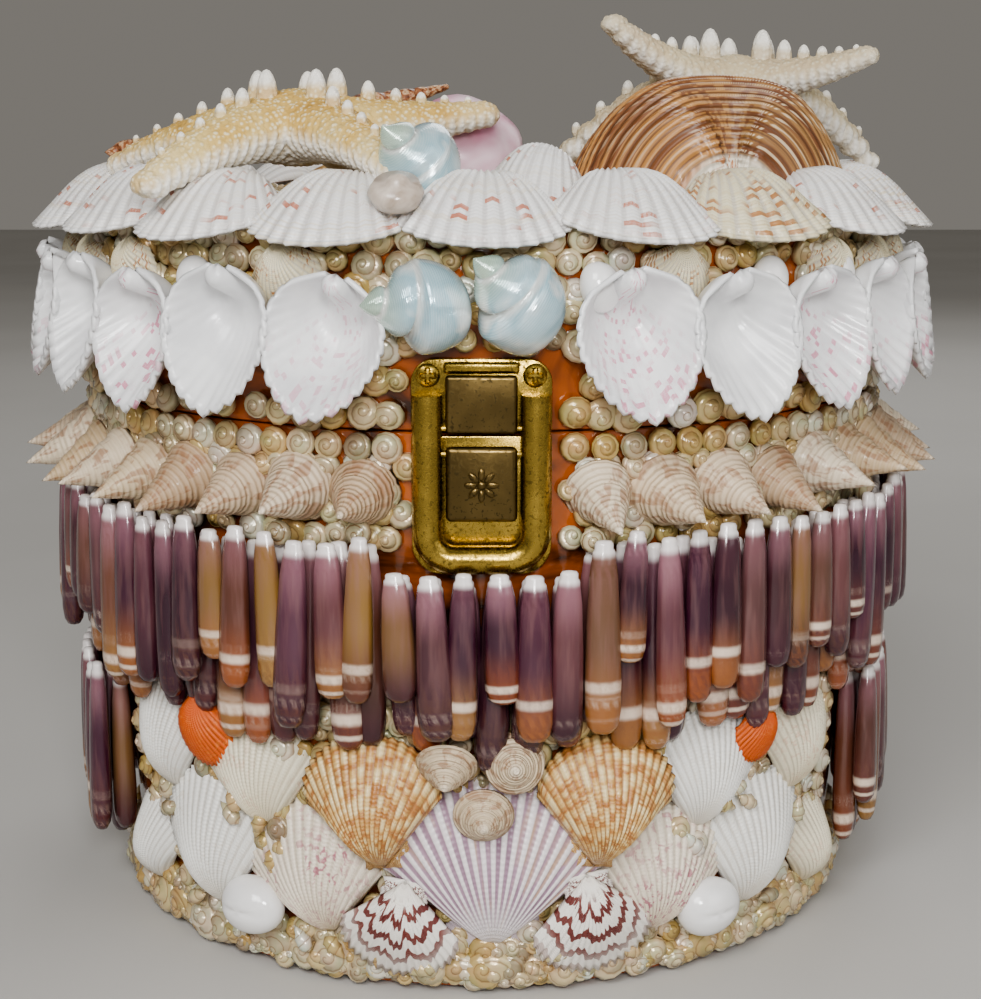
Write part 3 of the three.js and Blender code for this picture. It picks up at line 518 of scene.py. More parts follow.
def top_shell_paint():
    """Pointed top shells: fine rings, and warm mottling that differs from shell to shell."""
    paint = Paint("top shells", Roughness=0.5, Coat_Weight=0.1)
    across, along = paint.across_along()
    tint = paint.tint()
    base = paint.ramp(tint, [
        (0.0, (0.60, 0.47, 0.31)), (0.25, (0.74, 0.64, 0.50)), (0.45, (0.46, 0.32, 0.20)),
        (0.65, (0.68, 0.55, 0.40)), (0.85, (0.55, 0.40, 0.23)), (1.0, (0.72, 0.61, 0.44))])
    where = paint.vector(paint.times(across, 9.0), paint.times(along, 3.0), paint.times(tint, 17.0))
    mottle = paint.step(paint.noise(where, 1.6, 3, 0.6), 0.5, 0.62)
    skin = paint.mix(paint.times(mottle, 0.62), base, (0.30, 0.13, 0.06))
    rings = paint.sine(paint.minus(paint.times(along, 16.0), across), TAU)
    skin = paint.mix(paint.times(paint.step(rings, 0.1, 0.9), 0.16), skin, (0.80, 0.70, 0.56))
    point = paint.rest_of(paint.step(along, 0.0, 0.16))
    paint.colour(paint.mix(paint.times(point, 0.7), skin, (0.84, 0.74, 0.60)))
    paint.bump(rings, 0.0003, 0.6)
    return paint.material


def star_paint():
    """Dried starfish: sandy and granular, white on the knobs and along the edges of the arms."""
    paint = Paint("dried starfish", Roughness=0.85)
    grains = paint.node("ShaderNodeTexVoronoi", Vector=paint.place(), Scale=620.0).outputs["Distance"]
    cloud = paint.noise(paint.place(), 55, 3)
    sand = colours().star
    skin = paint.ramp(cloud, [(0.35, (0.68, 0.52, 0.22)), (0.55, sand), (0.7, (0.50, 0.29, 0.07))])
    skin = paint.mix(paint.step(grains, 0.5, 0.15), skin, (0.80, 0.70, 0.46))
    skin = paint.mix(paint.times(paint.tint(), 0.6), skin, (0.58, 0.54, 0.44))
    paint.colour(paint.mix(paint.tint("white"), skin, (0.87, 0.84, 0.77)))
    paint.bump(paint.rest_of(grains), 0.0007, 0.7)
    return paint.material


def clam_paint():
    """A big ringed clam: tan with dark brown patches, white with orange marks at its beak, and painted
    shade in the troughs between its rings.
    """
    paint = Paint("brown clam", Roughness=0.4, Coat_Weight=0.3, Coat_Roughness=0.2)
    across, along = paint.across_along()
    rings = paint.sine(along, TAU * CLAM_RINGS)
    rays = paint.sine(across, TAU * 80)
    ring = paint.cells(along, float(CLAM_RINGS))
    ring = paint.math("DIVIDE", ring, float(CLAM_RINGS))
    wide = paint.vector(paint.times(across, 9.0), paint.times(ring, 22.0), 0.0)
    patch = paint.step(paint.noise(wide, 1.0, 2, 0.2), 0.46, 0.54)
    base = paint.mix(paint.step(across, 0.3, 0.85), (0.36, 0.19, 0.07), (0.52, 0.26, 0.09))
    skin = paint.mix(paint.times(patch, 0.82), base, (0.15, 0.045, 0.018))
    left = paint.rest_of(paint.step(across, 0.3, 0.7))
    grid = paint.times(paint.step(rings, 0.2, 0.8), paint.step(rays, -0.1, 0.5))
    grid = paint.times(grid, paint.plus(0.3, paint.times(left, 0.4)))
    skin = paint.mix(grid, skin, (0.80, 0.66, 0.46))
    # Painted shade: very dark brown in the troughs between the growth rings
    groove = paint.rest_of(paint.step(rings, -0.95, -0.5))
    skin = paint.mix(paint.times(groove, 0.75), skin, (0.12, 0.05, 0.02))
    spread = paint.vector(paint.times(across, 8.0), paint.times(along, 16.0), 4.0)
    marks = paint.step(paint.noise(spread, 1.4, 2, 0.8), 0.52, 0.6)
    beak = paint.mix(paint.times(marks, 0.85), (0.80, 0.74, 0.62), (0.45, 0.15, 0.03))
    paint.colour(paint.mix(paint.step(along, 0.22, 0.27), beak, skin))
    paint.bump(rings, 0.0004, 0.6)
    return paint.material


def auger_paint():
    """Slender brown shells with cream mottling."""
    paint = Paint("brown auger", Roughness=0.38, Coat_Weight=0.3)
    across, along = paint.across_along()
    where = paint.vector(paint.times(across, 6.0), paint.times(along, 16.0), paint.tint())
    mottle = paint.noise(where, 1.5, 3, 0.5)
    paint.colour(paint.ramp(mottle, [
        (0.35, (0.13, 0.04, 0.015)), (0.5, (0.36, 0.14, 0.06)), (0.6, (0.66, 0.46, 0.28)),
        (0.7, (0.30, 0.11, 0.04))]))
    paint.growth_lines(along, 110.0, 0.0003, 0.5)
    return paint.material


def plain_shell_paint(name, low, high, scale=80, rough=0.28):
    """A smooth shell whose colour drifts between two."""
    paint = Paint(name, Roughness=rough, Coat_Weight=0.4, Coat_Roughness=0.1)
    paint.colour(paint.ramp(paint.noise(paint.place(), scale, 3, 0.5), [(0.35, low), (0.65, high)]))
    paint.bump(paint.noise(paint.place(), 400, 2), 0.0001, 0.3)
    return paint.material


def brass_paint(name, colour, dark, roughness):
    """Antique brass: dark specks in the plating, brighter where it is rubbed."""
    paint = Paint(name, Metallic=1.0)
    specks = paint.noise(paint.place(), 900, 4, 0.4)
    cloud = paint.noise(paint.place(), 120, 4)
    skin = paint.mix(paint.step(cloud, 0.35, 0.7), colour, [min(1, 1.35 * channel) for channel in colour])
    paint.colour(paint.mix(paint.times(paint.step(specks, 0.56, 0.66), 0.75), skin, dark))
    paint.rough(paint.plus(roughness, paint.times(paint.step(specks, 0.5, 0.7), 0.25)))
    paint.bump(specks, 0.0001, 0.3)
    return paint.material


paints = {}


def paint_of(name):
    """The named material, made when it is first asked for."""
    if name not in paints:
        paints[name] = PAINTERS[name]()
    return paints[name]


PAINTERS = {
    "lacquer": lacquer_paint,
    "lining": lining_paint,
    "pearl": pearl_paint,
    "dark_pearl": lambda: pearl_paint("dark snails", 0.3),
    "nacre": nacre_paint,
    "fan": lambda: cockle_paint("white cockles", (0.82, 0.81, 0.80), (0.50, 0.13, 0.05)),
    "spotted_fan": lambda: cockle_paint("spotted cockle", (0.74, 0.68, 0.50), (0.40, 0.15, 0.03),
        share=0.4),
    "cup": cup_paint,
    "calico": calico_paint,
    "violet": violet_paint,
    "striped": striped_paint,
    "pink": lambda: speckled_paint("pinkish scallop", (0.80, 0.72, 0.60), (0.40, 0.10, 0.16), 0.8),
    "cream": lambda: speckled_paint("cream scallop", (0.80, 0.74, 0.58), (0.55, 0.22, 0.14), 0.35),
    "white": lambda: speckled_paint("white scallop", (0.83, 0.82, 0.78), (0.62, 0.50, 0.38), 0.25),
    "orange": lambda: speckled_paint("orange scallop", (0.66, 0.12, 0.015), (0.78, 0.26, 0.06), 0.6),
    "spine": spine_paint,
    "top_shell": top_shell_paint,
    "star": star_paint,
    "clam": clam_paint,
    "auger": auger_paint,
    "cowrie": lambda: plain_shell_paint("white cowrie", (0.84, 0.83, 0.82), (0.92, 0.91, 0.90), rough=0.15),
    "tellin": lambda: plain_shell_paint("pink tellin", (0.48, 0.16, 0.26), (0.78, 0.66, 0.70), 46),
    "button": lambda: plain_shell_paint("button snail", (0.34, 0.26, 0.20), (0.66, 0.58, 0.50), 120),
    "brass": lambda: brass_paint("antique brass", tuple(colours().brass), (0.10, 0.07, 0.02), 0.26),
    # The same brass paint, only darker, for the latch's lever and its tongue
    "darker_brass": lambda: brass_paint("darker brass", (0.13, 0.09, 0.035), (0.03, 0.022, 0.01), 0.30),
}

# Moulds: each shape is modelled once, in millimetres, and its copies are laid in place


class Mould:
    """The points, faces and UV map of a modelled shape, ready to be copied."""

    def __init__(self, piece):
        mesh = piece.data
        self.points = read(mesh.vertices, "co", 3)
        self.corners = read(mesh.loops, "vertex_index", 1, np.int32).ravel()
        self.starts = read(mesh.polygons, "loop_start", 1, np.int32).ravel()
        self.totals = read(mesh.polygons, "loop_total", 1, np.int32).ravel()
        layer = mesh.uv_layers.active
        self.uv = read(layer.uv, "vector", 2) if layer else np.zeros((len(self.corners), 2), np.float32)
        white = mesh.attributes.get("white")
        self.white = read(white.data, "value", 1).ravel() if white else None
        bpy.data.objects.remove(piece, do_unlink=True)


def read(items, key, width, kind=np.float32):
    """A mesh's values as rows of so many numbers."""
    values = np.zeros(len(items) * width, kind)
    items.foreach_get(key, values)
    return values.reshape(-1, width)


def store(mesh, name, values):
    """Stores a number for each point of a mesh."""
    mesh.attributes.new(name, "FLOAT", "POINT").data.foreach_set("value", values)


def lay(name, mould, places, paint, body, slot, nodes=(), seed=1, tints=None):
    """One piece made of copies of a mould, one for each matrix, each with a tint of its own."""
    draw = random.Random(seed)
    count, size = len(places), len(mould.points)
    points = np.concatenate([
        mould.points @ np.array(place.to_3x3()).T * MM + np.array(place.translation) * MM
        for place in places])
    mesh = bpy.data.meshes.new(name)
    mesh.vertices.add(count * size)
    mesh.vertices.foreach_set("co", points.astype(np.float32).ravel())
    corners = np.concatenate([mould.corners + k * size for k in range(count)])
    mesh.loops.add(len(corners))
    mesh.loops.foreach_set("vertex_index", corners.astype(np.int32))
    starts = np.concatenate([mould.starts + k * len(mould.corners) for k in range(count)])
    mesh.polygons.add(len(starts))
    mesh.polygons.foreach_set("loop_start", starts.astype(np.int32))
    mesh.update(calc_edges=True)
    mesh.uv_layers.new(name="UVMap").uv.foreach_set("vector",
        np.tile(mould.uv, (count, 1)).astype(np.float32).ravel())
    chosen = tints or [draw.random() for _ in places]
    store(mesh, "tint", np.repeat(np.array(chosen, np.float32), size))
    if mould.white is not None:
        store(mesh, "white", np.tile(mould.white, count))
    mesh.polygons.foreach_set("use_smooth", np.ones(len(starts), bool))
    mesh.materials.append(paint_of(paint))
    mesh.validate()
    piece = bpy.data.objects.new(name, mesh)
    bpy.context.scene.collection.objects.link(piece)
    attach(piece, body)
    if nodes:
        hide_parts(*nodes)


def deselect():
    bpy.ops.object.select_all(action="DESELECT")


def choose(piece):
    """Selects one piece alone and makes it the active one."""
    deselect()
    piece.select_set(True)
    bpy.context.view_layer.objects.active = piece


def join(pieces):
    """Joins the pieces into the first of them."""
    choose(pieces[0])
    for piece in pieces[1:]:
        piece.select_set(True)
    bpy.ops.object.join()
    return pieces[0]


def join_all(name, pieces):
    """Joins the pieces under a name of their own."""
    whole = join(pieces)
    whole.name = name
    return whole


def ball(segments, rings, place=(0, 0, 0), scale=(1, 1, 1), rotation=(0, 0, 0)):
    """A sphere primitive, one unit in radius before its scale."""
    deselect()
    bpy.ops.mesh.primitive_uv_sphere_add(
        segments=segments, ring_count=rings, radius=1, location=place, rotation=rotation, scale=scale)
    return bpy.context.object


def apply_place(piece):
    """Puts a piece's place, turn and scale into its mesh."""
    choose(piece)
    bpy.ops.object.transform_apply(location=True, rotation=True, scale=True)


def polar(radius, angle):
    """x and y at a radius and an angle in degrees."""
    return radius * math.cos(math.radians(angle)), radius * math.sin(math.radians(angle))


def turned(radius, share, height):
    """A point of a turned shape, that share of the way round it."""
    return (radius * math.cos(share * TAU), radius * math.sin(share * TAU), height)


def shaped_grid(across, along, shape, close=True):
    """A grid primitive with each point moved to shape(u, v), where u and v run from 0 to 1."""
    deselect()
    bpy.ops.mesh.primitive_grid_add(x_subdivisions=across, y_subdivisions=along, size=1, location=(0, 0, 0))
    piece = bpy.context.object
    for vertex in piece.data.vertices:
        vertex.co = shape(vertex.co.x + 0.5, vertex.co.y + 0.5)
    if close:
        weld(piece)
    return piece


def weld(piece, distance=MOULD_WELD):
    """Merges doubled points and turns the faces outwards."""
    bpy.context.view_layer.objects.active = piece
    bpy.ops.object.mode_set(mode="EDIT")
    bpy.ops.mesh.select_all(action="SELECT")
    bpy.ops.mesh.remove_doubles(threshold=distance)
    bpy.ops.mesh.dissolve_degenerate(threshold=distance)
    bpy.ops.mesh.select_all(action="SELECT")
    bpy.ops.mesh.normals_make_consistent(inside=False)
    bpy.ops.object.mode_set(mode="OBJECT")


def apply_modifier(piece, kind, **settings):
    """Adds a modifier and applies it."""
    bpy.context.view_layer.objects.active = piece
    modifier = piece.modifiers.new(kind.lower(), kind)
    for key, value in settings.items():
        setattr(modifier, key, value)
    bpy.ops.object.modifier_apply(modifier=modifier.name)


def small_snail(faces=12):
    """A low whorled dome, one unit in radius, with its spire a little off the middle."""
    profile = [(0, 0.78), (0.3, 0.66), (0.46, 0.44), (0.8, 0.42), (1.0, 0.04), (0.84, -0.34), (0, -0.44)]
    last = len(profile) - 1

    def shape(u, v):
        out, rise = profile[round(v * last)]
        shift = 0.16 * (1 - out)
        swell = 1 + 0.06 * math.sin(u * TAU)
        return (out * swell * math.cos(u * TAU) + shift, out * swell * math.sin(u * TAU), rise)
    return Mould(shaped_grid(faces, last, shape))


def pointed_snail(faces=9, rings=7):
    """A small pointed snail lying on its side, two and a half units long."""
    def shape(u, v):
        whorl = 1 + 0.14 * math.sin(TAU * (v * 4 - u))
        radius = 0.9 * math.sin(math.pi * min(1, v * 0.94 + 0.03)) ** 0.8 * (0.25 + 0.75 * v) * whorl
        if v in (0.0, 1.0):
            radius = 0
        return (radius * math.cos(u * TAU), 2.4 * (0.5 - v), radius * math.sin(u * TAU) + 0.4)
    return Mould(shaped_grid(faces, rings, shape))


def valve(length, width, dome, ribs=20, spread=64, depth=0.5, crimp=0.02, ears=0.0, thick=1.1,
          fineness=4, along=12, fan=1.0, rings=0.0, fullness=1.0):
    """A ribbed bivalve, its beak at -y, its margin at +y and its rim at z = 0.

    A fan under 1 widens it towards its margin, and a fullness under 1 steepens its dome.
    """
    def reach_of(side):
        return math.cos(side * math.radians(spread)) ** fan * (1 - (1 - fan) * 0.2 * abs(side) ** 8)
    half = max(reach_of(k / 50) * math.sin(k / 50 * math.radians(spread)) for k in range(51))
    widen = width / 2 / half if fan < 1 else width

    def shape(u, v):
        side = 2 * u - 1
        angle = side * math.radians(spread)
        ridge = math.cos(TAU * ribs * u)
        edge = max(0, v - 0.8) / 0.2
        reach = reach_of(side) * v * (1 + crimp * ridge * edge)
        arch = max(0, math.sqrt(max(0, 1 - side * side)) * math.sin(math.pi * v ** 0.75))
        rise = dome * arch ** fullness
        rise += depth * ridge * min(1, 3 * v) * math.sqrt(max(0, 1 - side ** 8)) * 0.5
        return (reach * math.sin(angle) * widen, length * (reach * math.cos(angle) - 0.5), rise)
    piece = shaped_grid(ribs * fineness, along, shape)
    if ears:
        add_ears(piece, length, widen, spread, ears)
    if rings:
        ring_about_beak(piece, Vector((0, -length / 2, 0)), rings)
    apply_modifier(piece, "SOLIDIFY", thickness=thick, offset=-1.0)
    return Mould(piece)


def ring_about_beak(piece, beak, depth):
    """Raises growth rings about the beak, and lays the paint's map along them."""
    mesh = piece.data
    away = [(vertex.co - beak).length for vertex in mesh.vertices]
    round_beak = [math.atan2(vertex.co.y - beak.y, vertex.co.x) / math.pi for vertex in mesh.vertices]
    far = max(away)
    lifts = [vertex.normal * depth * math.sin(TAU * CLAM_RINGS * reach / far)
             for vertex, reach in zip(mesh.vertices, away)]
    for loop, uv in zip(mesh.loops, mesh.uv_layers.active.uv):
        uv.vector = (round_beak[loop.vertex_index], away[loop.vertex_index] / far)
    for vertex, lift in zip(mesh.vertices, lifts):
        vertex.co += lift


def add_ears(piece, length, widen, spread, ears):
    """The two small wings beside a scallop's beak."""
    wings = [piece]
    for sign in (-1, 1):
        def shape(u, v, sign=sign):
            angle = math.radians(spread)
            reach = 0.3 * v
            inner = reach * math.sin(angle) * widen
            outer = max(inner, ears * (1 - 0.2 * v))
            y = length * (reach * math.cos(angle) * (1 - 0.4 * u) - 0.5)
            return (sign * (inner + (outer - inner) * u), y, 0.9 + 0.25 * math.sin(9 * u))
        wings.append(shaped_grid(4, 3, shape))
    join(wings)


def spine_mould(width):
    """A pencil urchin spine that hangs from z = 0 to z = -1, its collar at the top."""
    profile = [(0.0, 0.0), (0.006, 0.4), (0.02, 0.5), (0.045, 0.5), (0.06, 0.6), (0.18, 0.78),
               (0.45, 0.93), (0.72, 1.0), (0.88, 0.98), (0.95, 0.84), (0.985, 0.56), (1.0, 0.0)]
    last = len(profile) - 1

    def shape(u, v):
        drop, out = profile[round(v * last)]
        radius = out * width / 2
        return (radius * math.cos(u * TAU), 0.72 * radius * math.sin(u * TAU), -drop)
    piece = shaped_grid(10, last, shape)
    set_uv_along(piece, lambda point: -point[2])
    return Mould(piece)


def set_uv_along(piece, rule):
    """Sets how far along the shape each corner of the paint's map lies."""
    mesh = piece.data
    for loop, uv in zip(mesh.loops, mesh.uv_layers.active.uv):
        uv.vector = (uv.vector[0], rule(mesh.vertices[loop.vertex_index].co))


def turban_mould():
    """A turban shell about the z axis: a full last whorl near z = 0 and a stepped spire above it."""
    def shape(u, v):
        spire = min(1, v / 0.54)
        base = max(0, (v - 0.54) / 0.46)
        radius = spire ** 0.85 * math.cos(base * math.pi / 2) ** 0.6
        height = 0.3 + 1.2 * (1 - spire) - 1.1 * math.sin(base * math.pi / 2)
        bulge = abs(math.sin(math.pi * (TURBAN_WHORLS * v - u))) ** 0.6
        shallow = 1 - 0.94 * max(0, min(1, (v - 0.44) / 0.12))
        radius *= 1 - 0.42 * (1 - bulge) * shallow
        slope = 0.12 * math.cos(u * TAU) * radius
        return turned(radius, u, height + slope)
    return Mould(shaped_grid(44, 84, shape))


def top_shell_mould(height=2.3, faces=16, rings=14, steps=4.0, point=1.0):
    """A pointed top shell with stepped whorls: base radius one at z = 0, its point at +z."""
    def shape(u, v):
        if v > 0.93:
            return turned((1 - v) / 0.07, u, -0.12)
        out = v / 0.93
        step = 0.045 * math.sin(TAU * (out * steps - u))
        radius = (out ** point) * (1 + step)
        return turned(radius, u, height * (1 - out) + 0.02 * math.sin(out * 40))
    return Mould(shaped_grid(faces, rings, shape))


def egg_mould(slit=0.0):
    """A smooth egg, one unit in radius, with an optional slit along its front."""
    piece = ball(28, 18)
    for vertex in piece.data.vertices:
        x, y, z = vertex.co
        dent = slit * math.exp(-(y / 0.1) ** 2) * max(0, z) * max(0, 1 - x * x)
        vertex.co = (x * (1 + 0.08 * x), y, z - dent)
    return Mould(piece)


# Places


def turn_about(axis, degrees):
    return Matrix.Rotation(math.radians(degrees), 4, axis)


def at_wall(angle, height, lift=0.0, turn=0.0, lean=0.0, scale=1.0):
    """On the wall: x runs along it, y upwards and z outwards. Angles are degrees from the front."""
    radius = wall_radius(height) + lift
    place = turn_about("Z", angle) @ Matrix.Translation((0, -radius, height))
    place = place @ turn_about("X", 90 + lean) @ turn_about("Z", turn)
    return place @ Matrix.Diagonal((scale, scale, scale, 1))


def at_lid(x, y, lift=0.0, turn=0.0, tilt=0.0, scale=(1, 1, 1)):
    """On the lid's top: z upwards, turned about it and then tilted."""
    place = Matrix.Translation((x, y, LID_TOP + lift)) @ turn_about("Z", turn)
    return place @ turn_about("X", tilt) @ Matrix.Diagonal((*scale, 1))


def ring_angles(start, end, width, radius):
    """The angles of things of one width, side by side from start to end."""
    count = max(1, round(math.radians(end - start) * radius / width))
    return [start + (end - start) * (k + 0.5) / count for k in range(count)]


def clear_arcs(front=LATCH_ANGLE, back=HINGE_ANGLE):
    """The two arcs beside the latch and the hinge."""
    return [(front, 180 - back), (180 + back, 360 - front)]


def make_stage():
    """A pale floor, soft lights and the camera."""
    deselect()
    bpy.ops.mesh.primitive_plane_add(size=8, location=(0, 0, -0.0005))
    floor = bpy.context.object
    floor.name = "floor"
    paint = Paint("pale floor", Roughness=0.75)
    drift = paint.noise(paint.place(), 3, 2)
    paint.colour(paint.ramp(drift, [(0.4, (0.50, 0.49, 0.47)), (0.6, (0.53, 0.52, 0.50))]))
    floor.data.materials.append(paint.material)
    lights = [
        ("key light", (-0.5, -1.5, 1.3), 0.8, 20),
        ("fill light", (1.3, -1.0, 0.9), 1.2, 6),
        ("flash", (0.05, -0.8, 0.42), 0.14, 2.6),
        ("rim light", (0.4, 1.4, 1.2), 1.0, 7),
    ]
    for name, place, size, power in lights:
        bpy.ops.object.light_add(type="AREA", location=place)
        light = bpy.context.object
        light.name = name
        light.data.size = size
        light.data.energy = power
        aim = Vector((0, 0, 0.14)) - Vector(place)
        light.rotation_euler = aim.to_track_quat("-Z", "Y").to_euler()
    world = bpy.data.worlds.new("studio")
    world.use_nodes = True
    world.node_tree.nodes["Background"].inputs[0].default_value = (0.74, 0.70, 0.64, 1)
    world.node_tree.nodes["Background"].inputs[1].default_value = 0.26
    bpy.context.scene.world = world
    bpy.ops.object.camera_add(location=(2.6 * MM, -645 * MM, 268 * MM), rotation=(math.radians(78), 0, 0))
    camera = bpy.context.object
    camera.data.sensor_width = SENSOR_WIDTH
    camera.data.lens = FOCAL_PIXELS / FRAME_PIXELS * SENSOR_WIDTH
    bpy.context.scene.camera = camera
    bpy.context.scene.view_settings.look = "AgX - Medium High Contrast"


def hollow_drum(name, profile, body, node):
    """A turned shell with a closed profile of radius and height pairs."""
    count = len(profile)

    def shape(u, v):
        radius, height = profile[round(v * (count - 1))]
        return turned(radius * MM, u, height * MM)
    piece = shaped_grid(160, count - 1, shape, close=False)
    weld(piece, PIECE_WELD)
    piece.name = name
    choose(piece)
    bpy.ops.object.shade_smooth_by_angle(angle=math.radians(30))
    piece.data.materials.append(paint_of("lacquer"))
    piece.data.materials.append(paint_of("lining"))
    for face in piece.data.polygons:
        out, height = face.center.to_2d(), face.center.z
        inward = out.dot(face.normal.to_2d()) < -1e-6
        level = out.length < (RIM - WALL + 0.4) * MM and abs(face.normal.z) > 0.9
        facing = face.normal.z > 0 if body == "box" else face.normal.z < 0
        enclosed = 1 * MM < height < (LID_TOP - 1) * MM
        face.material_index = 1 if inward or (level and facing and enclosed) else 0
    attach(piece, body)
    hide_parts(node)


def make_drum():
    """The box's tapered wall and floor, and the lid."""
    hollow_drum("drum", [
        (0, 0), (FOOT - 0.6, 0), (FOOT, 0.6), (RIM, SEAM - 0.4), (RIM - 0.4, SEAM),
        (RIM - WALL + 0.4, SEAM), (RIM - WALL, SEAM - 0.4), (FOOT - WALL, WALL), (0, WALL)],
        "box", "box_body")
    hollow_drum("lid_drum", [
        (0, LID_TOP - WALL), (RIM - WALL, LID_TOP - WALL), (RIM - WALL, LID_BASE + 0.4),
        (RIM - WALL + 0.4, LID_BASE), (RIM - 0.4, LID_BASE), (RIM, LID_BASE + 0.4),
        (RIM, LID_TOP - 1.5), (RIM - 1.5, LID_TOP), (0, LID_TOP)],
        "lid", "lid")


def carpet(draw, arc, band, size, lift=1.2, gaps=()):
    """Snails packed side by side over a stretch of the wall, leaving out the gaps.

    The arc is in degrees and the band in heights. A gap is an angle, an angle, a height and a height.
    """
    places = []
    rows = max(1, round((band[1] - band[0]) / (0.84 * size)))
    for row in range(rows + 1):
        height = band[0] + (band[1] - band[0]) * row / rows
        radius = wall_radius(height)
        step = math.degrees(0.92 * size / radius)
        for angle in ring_angles(*arc, 0.92 * size, radius):
            angle += 0.5 * step * (row % 2) + draw.uniform(-0.2, 0.2) * step
            level = height + draw.uniform(-0.9, 0.9)
            if any(gap[0] < angle < gap[1] and gap[2] < level < gap[3] for gap in gaps):
                continue
            scale = size / 2 * draw.choice((0.82, 0.95, 1.05, 1.12, 1.22))
            tilt = draw.uniform(-26, 26)
            out = lift + draw.uniform(-0.3, 1.2)
            places.append(at_wall(angle, level, out, draw.uniform(0, 360), tilt, scale))
    return places


def seam_row(draw, height, size):
    """One row of snails side by side, on both sides of the latch and the hinge."""
    places = []
    for start, end in clear_arcs(LATCH_ANGLE + 0.3):
        for angle in ring_angles(start, end, 0.95 * size, wall_radius(height)):
            scale = size * draw.uniform(0.47, 0.54)
            places.append(at_wall(angle, height, 1.6, draw.uniform(0, 360), draw.uniform(-10, 10), scale))
    return places


def make_beads():
    """The rows, carpets and garlands of small snails."""
    draw = random.Random(sizes().seed)
    snail = small_snail()
    bead = sizes().bead / MM
    seam = middle_of("seam_beads_left")[2]
    lay("seam_snails", snail, seam_row(draw, seam, bead), "pearl", "box", "pearly_snails",
        ["seam_beads_left", "seam_beads_right"], 11)
    arcs = clear_arcs(LATCH_ANGLE + 0.2, HINGE_ANGLE + 2)
    strike_top = top_of("latch_strike") + 3
    cups = [sign * angle % 360 for sign in (-1, 1) for angle in CUP_ANGLES]
    hollows = [(angle - 5.3, angle + 5.3, LID_BASE + 19, LID_BASE + 41) for angle in cups]
    hollows += [(angle - 3.2, angle + 3.2, LID_BASE + 9, LID_BASE + 19) for angle in cups]
    side = []
    for arc in arcs:
        side += carpet(draw, arc, (LID_BASE + 4.6, LID_BASE + 24), bead, gaps=hollows)
    upper = carpet(draw, (0, 360), (strike_top + 2.5, LID_TOP - 3.5), bead * 0.95, gaps=hollows)
    lay("lid_snails_low", snail, side, "pearl", "lid", "pearly_snails", seed=12)
    lay("lid_snails_high", snail, upper, "pearl", "lid", "pearly_snails", seed=17)
    cone_low, cone_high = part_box("cone_shells_left")
    band = (cone_low[2] / MM - 3, cone_high[2] / MM - 2)
    between = []
    for arc in arcs:
        between += carpet(draw, arc, band, bead * 0.9, 1.0)
    lay("band_snails", snail, between, "pearl", "box", "pearly_snails", seed=18)
    foot = sizes().foot_bead / MM
    low = []
    for band, share, lift in (((7.7, 7.9), 0.86, 1.8), ((14.0, 15.0), 0.62, 1.2), ((5.0, 5.2), 0.5, 2.4)):
        low += carpet(draw, (0, 360), band, foot * share, lift)
    lay("foot_snails", snail, low, "pearl", "box", "pearly_snails", ["foot_beads"], 13)
    covered = [under_valve(place, form) for paint, _, place, form in VALVES.values()
               if paint != "violet" and place[2] < LOW_VALVE + 0.4]
    ground = carpet(draw, (-61, 61), (20, 98), bead * 0.86, 0.9, covered)
    lay("medallion_snails", snail, ground, "pearl", "box", "pearly_snails", seed=19)
    lay("garland_snails", snail, garland_places(draw), "pearl", "box", "pearly_snails", seed=14)
    lay("dark_snails", snail, dark_snail_places(draw), "dark_pearl", "box", "pearly_snails", seed=15,
        tints=[draw.uniform(0.8, 1.0) for _ in range(18)])
    pointed = pointed_snail()
    lay("pointed_snails", pointed, pointed_places(draw), "pearl", "box", "pearly_snails", seed=16)


def along_path(points, spacing):
    """Points spaced along a broken line of (angle, height) pairs on the wall."""
    walked = []
    for (a0, h0), (a1, h1) in zip(points, points[1:]):
        length = math.hypot(math.radians(a1 - a0) * RIM, h1 - h0)
        count = max(1, round(length / spacing))
        walked += [(a0 + (a1 - a0) * k / count, h0 + (h1 - h0) * k / count) for k in range(count)]
    return walked


def garland_places(draw):
    """Snails that edge the calico scallops, the medallion's sides and its gaps."""
    left = [(-27, 78), (-25.5, 86), (-20, 90), (-13, 91.5), (-8, 87), (-6, 78)]
    right = [(7, 80), (9, 88), (15, 91.5), (21, 90), (25.5, 86), (27.5, 78)]
    column_left = [(-57.5, 92), (-58, 70), (-59, 44)]
    column_right = [(56.5, 92), (57.5, 70), (58.5, 40)]
    inner_left = [(-29, 62), (-28, 50), (-31, 44), (-29, 34), (-27, 27)]
    inner_right = [(29, 60), (27, 50), (30, 44), (33, 36)]
    places = []
    for path in (left, right, column_left, column_right, inner_left, inner_right):
        for angle, height in along_path(path, 8.0):
            lift = 3 + draw.uniform(0, 2)
            places.append(at_wall(angle, height, lift, draw.uniform(0, 360), 0, draw.uniform(3.8, 4.9)))
    for angle, height in [(a, h) for a in range(62, 300, 4) for h in (91, 98)]:
        around = angle + draw.uniform(-1, 1)
        places.append(at_wall(around, height, 5, draw.uniform(0, 360), 0, draw.uniform(4, 5)))
    return places


def dark_snail_places(draw):
    """Dark snails between the top shells and the spines."""
    spots = [(-41, 154), (-24.5, 149), (-14.5, 151), (13, 149), (24.5, 154), (34, 158)]
    spots += [(angle, draw.uniform(149, 156)) for angle in range(60, 300, 20)]
    return [at_wall(angle, height, 9, draw.uniform(0, 360), 0, draw.uniform(4, 5.2))
            for angle, height in spots]


def pointed_places(draw):
    """Small pointed snails scattered over the medallion."""
    spots = [
        (-27, 44), (-29, 38), (-31, 50), (-14, 12), (-20, 13), (-8, 9), (7, 9), (20, 12), (29, 45),
        (27, 38), (34, 56), (36, 60), (38, 55), (-35, 58), (-36, 52), (44, 17), (-44, 17), (-50, 44),
        (50, 44), (10, 14), (-25, 14)]
    return [at_wall(angle, height, 5, draw.uniform(0, 360), 0, draw.uniform(3.4, 4.6))
            for angle, height in spots]


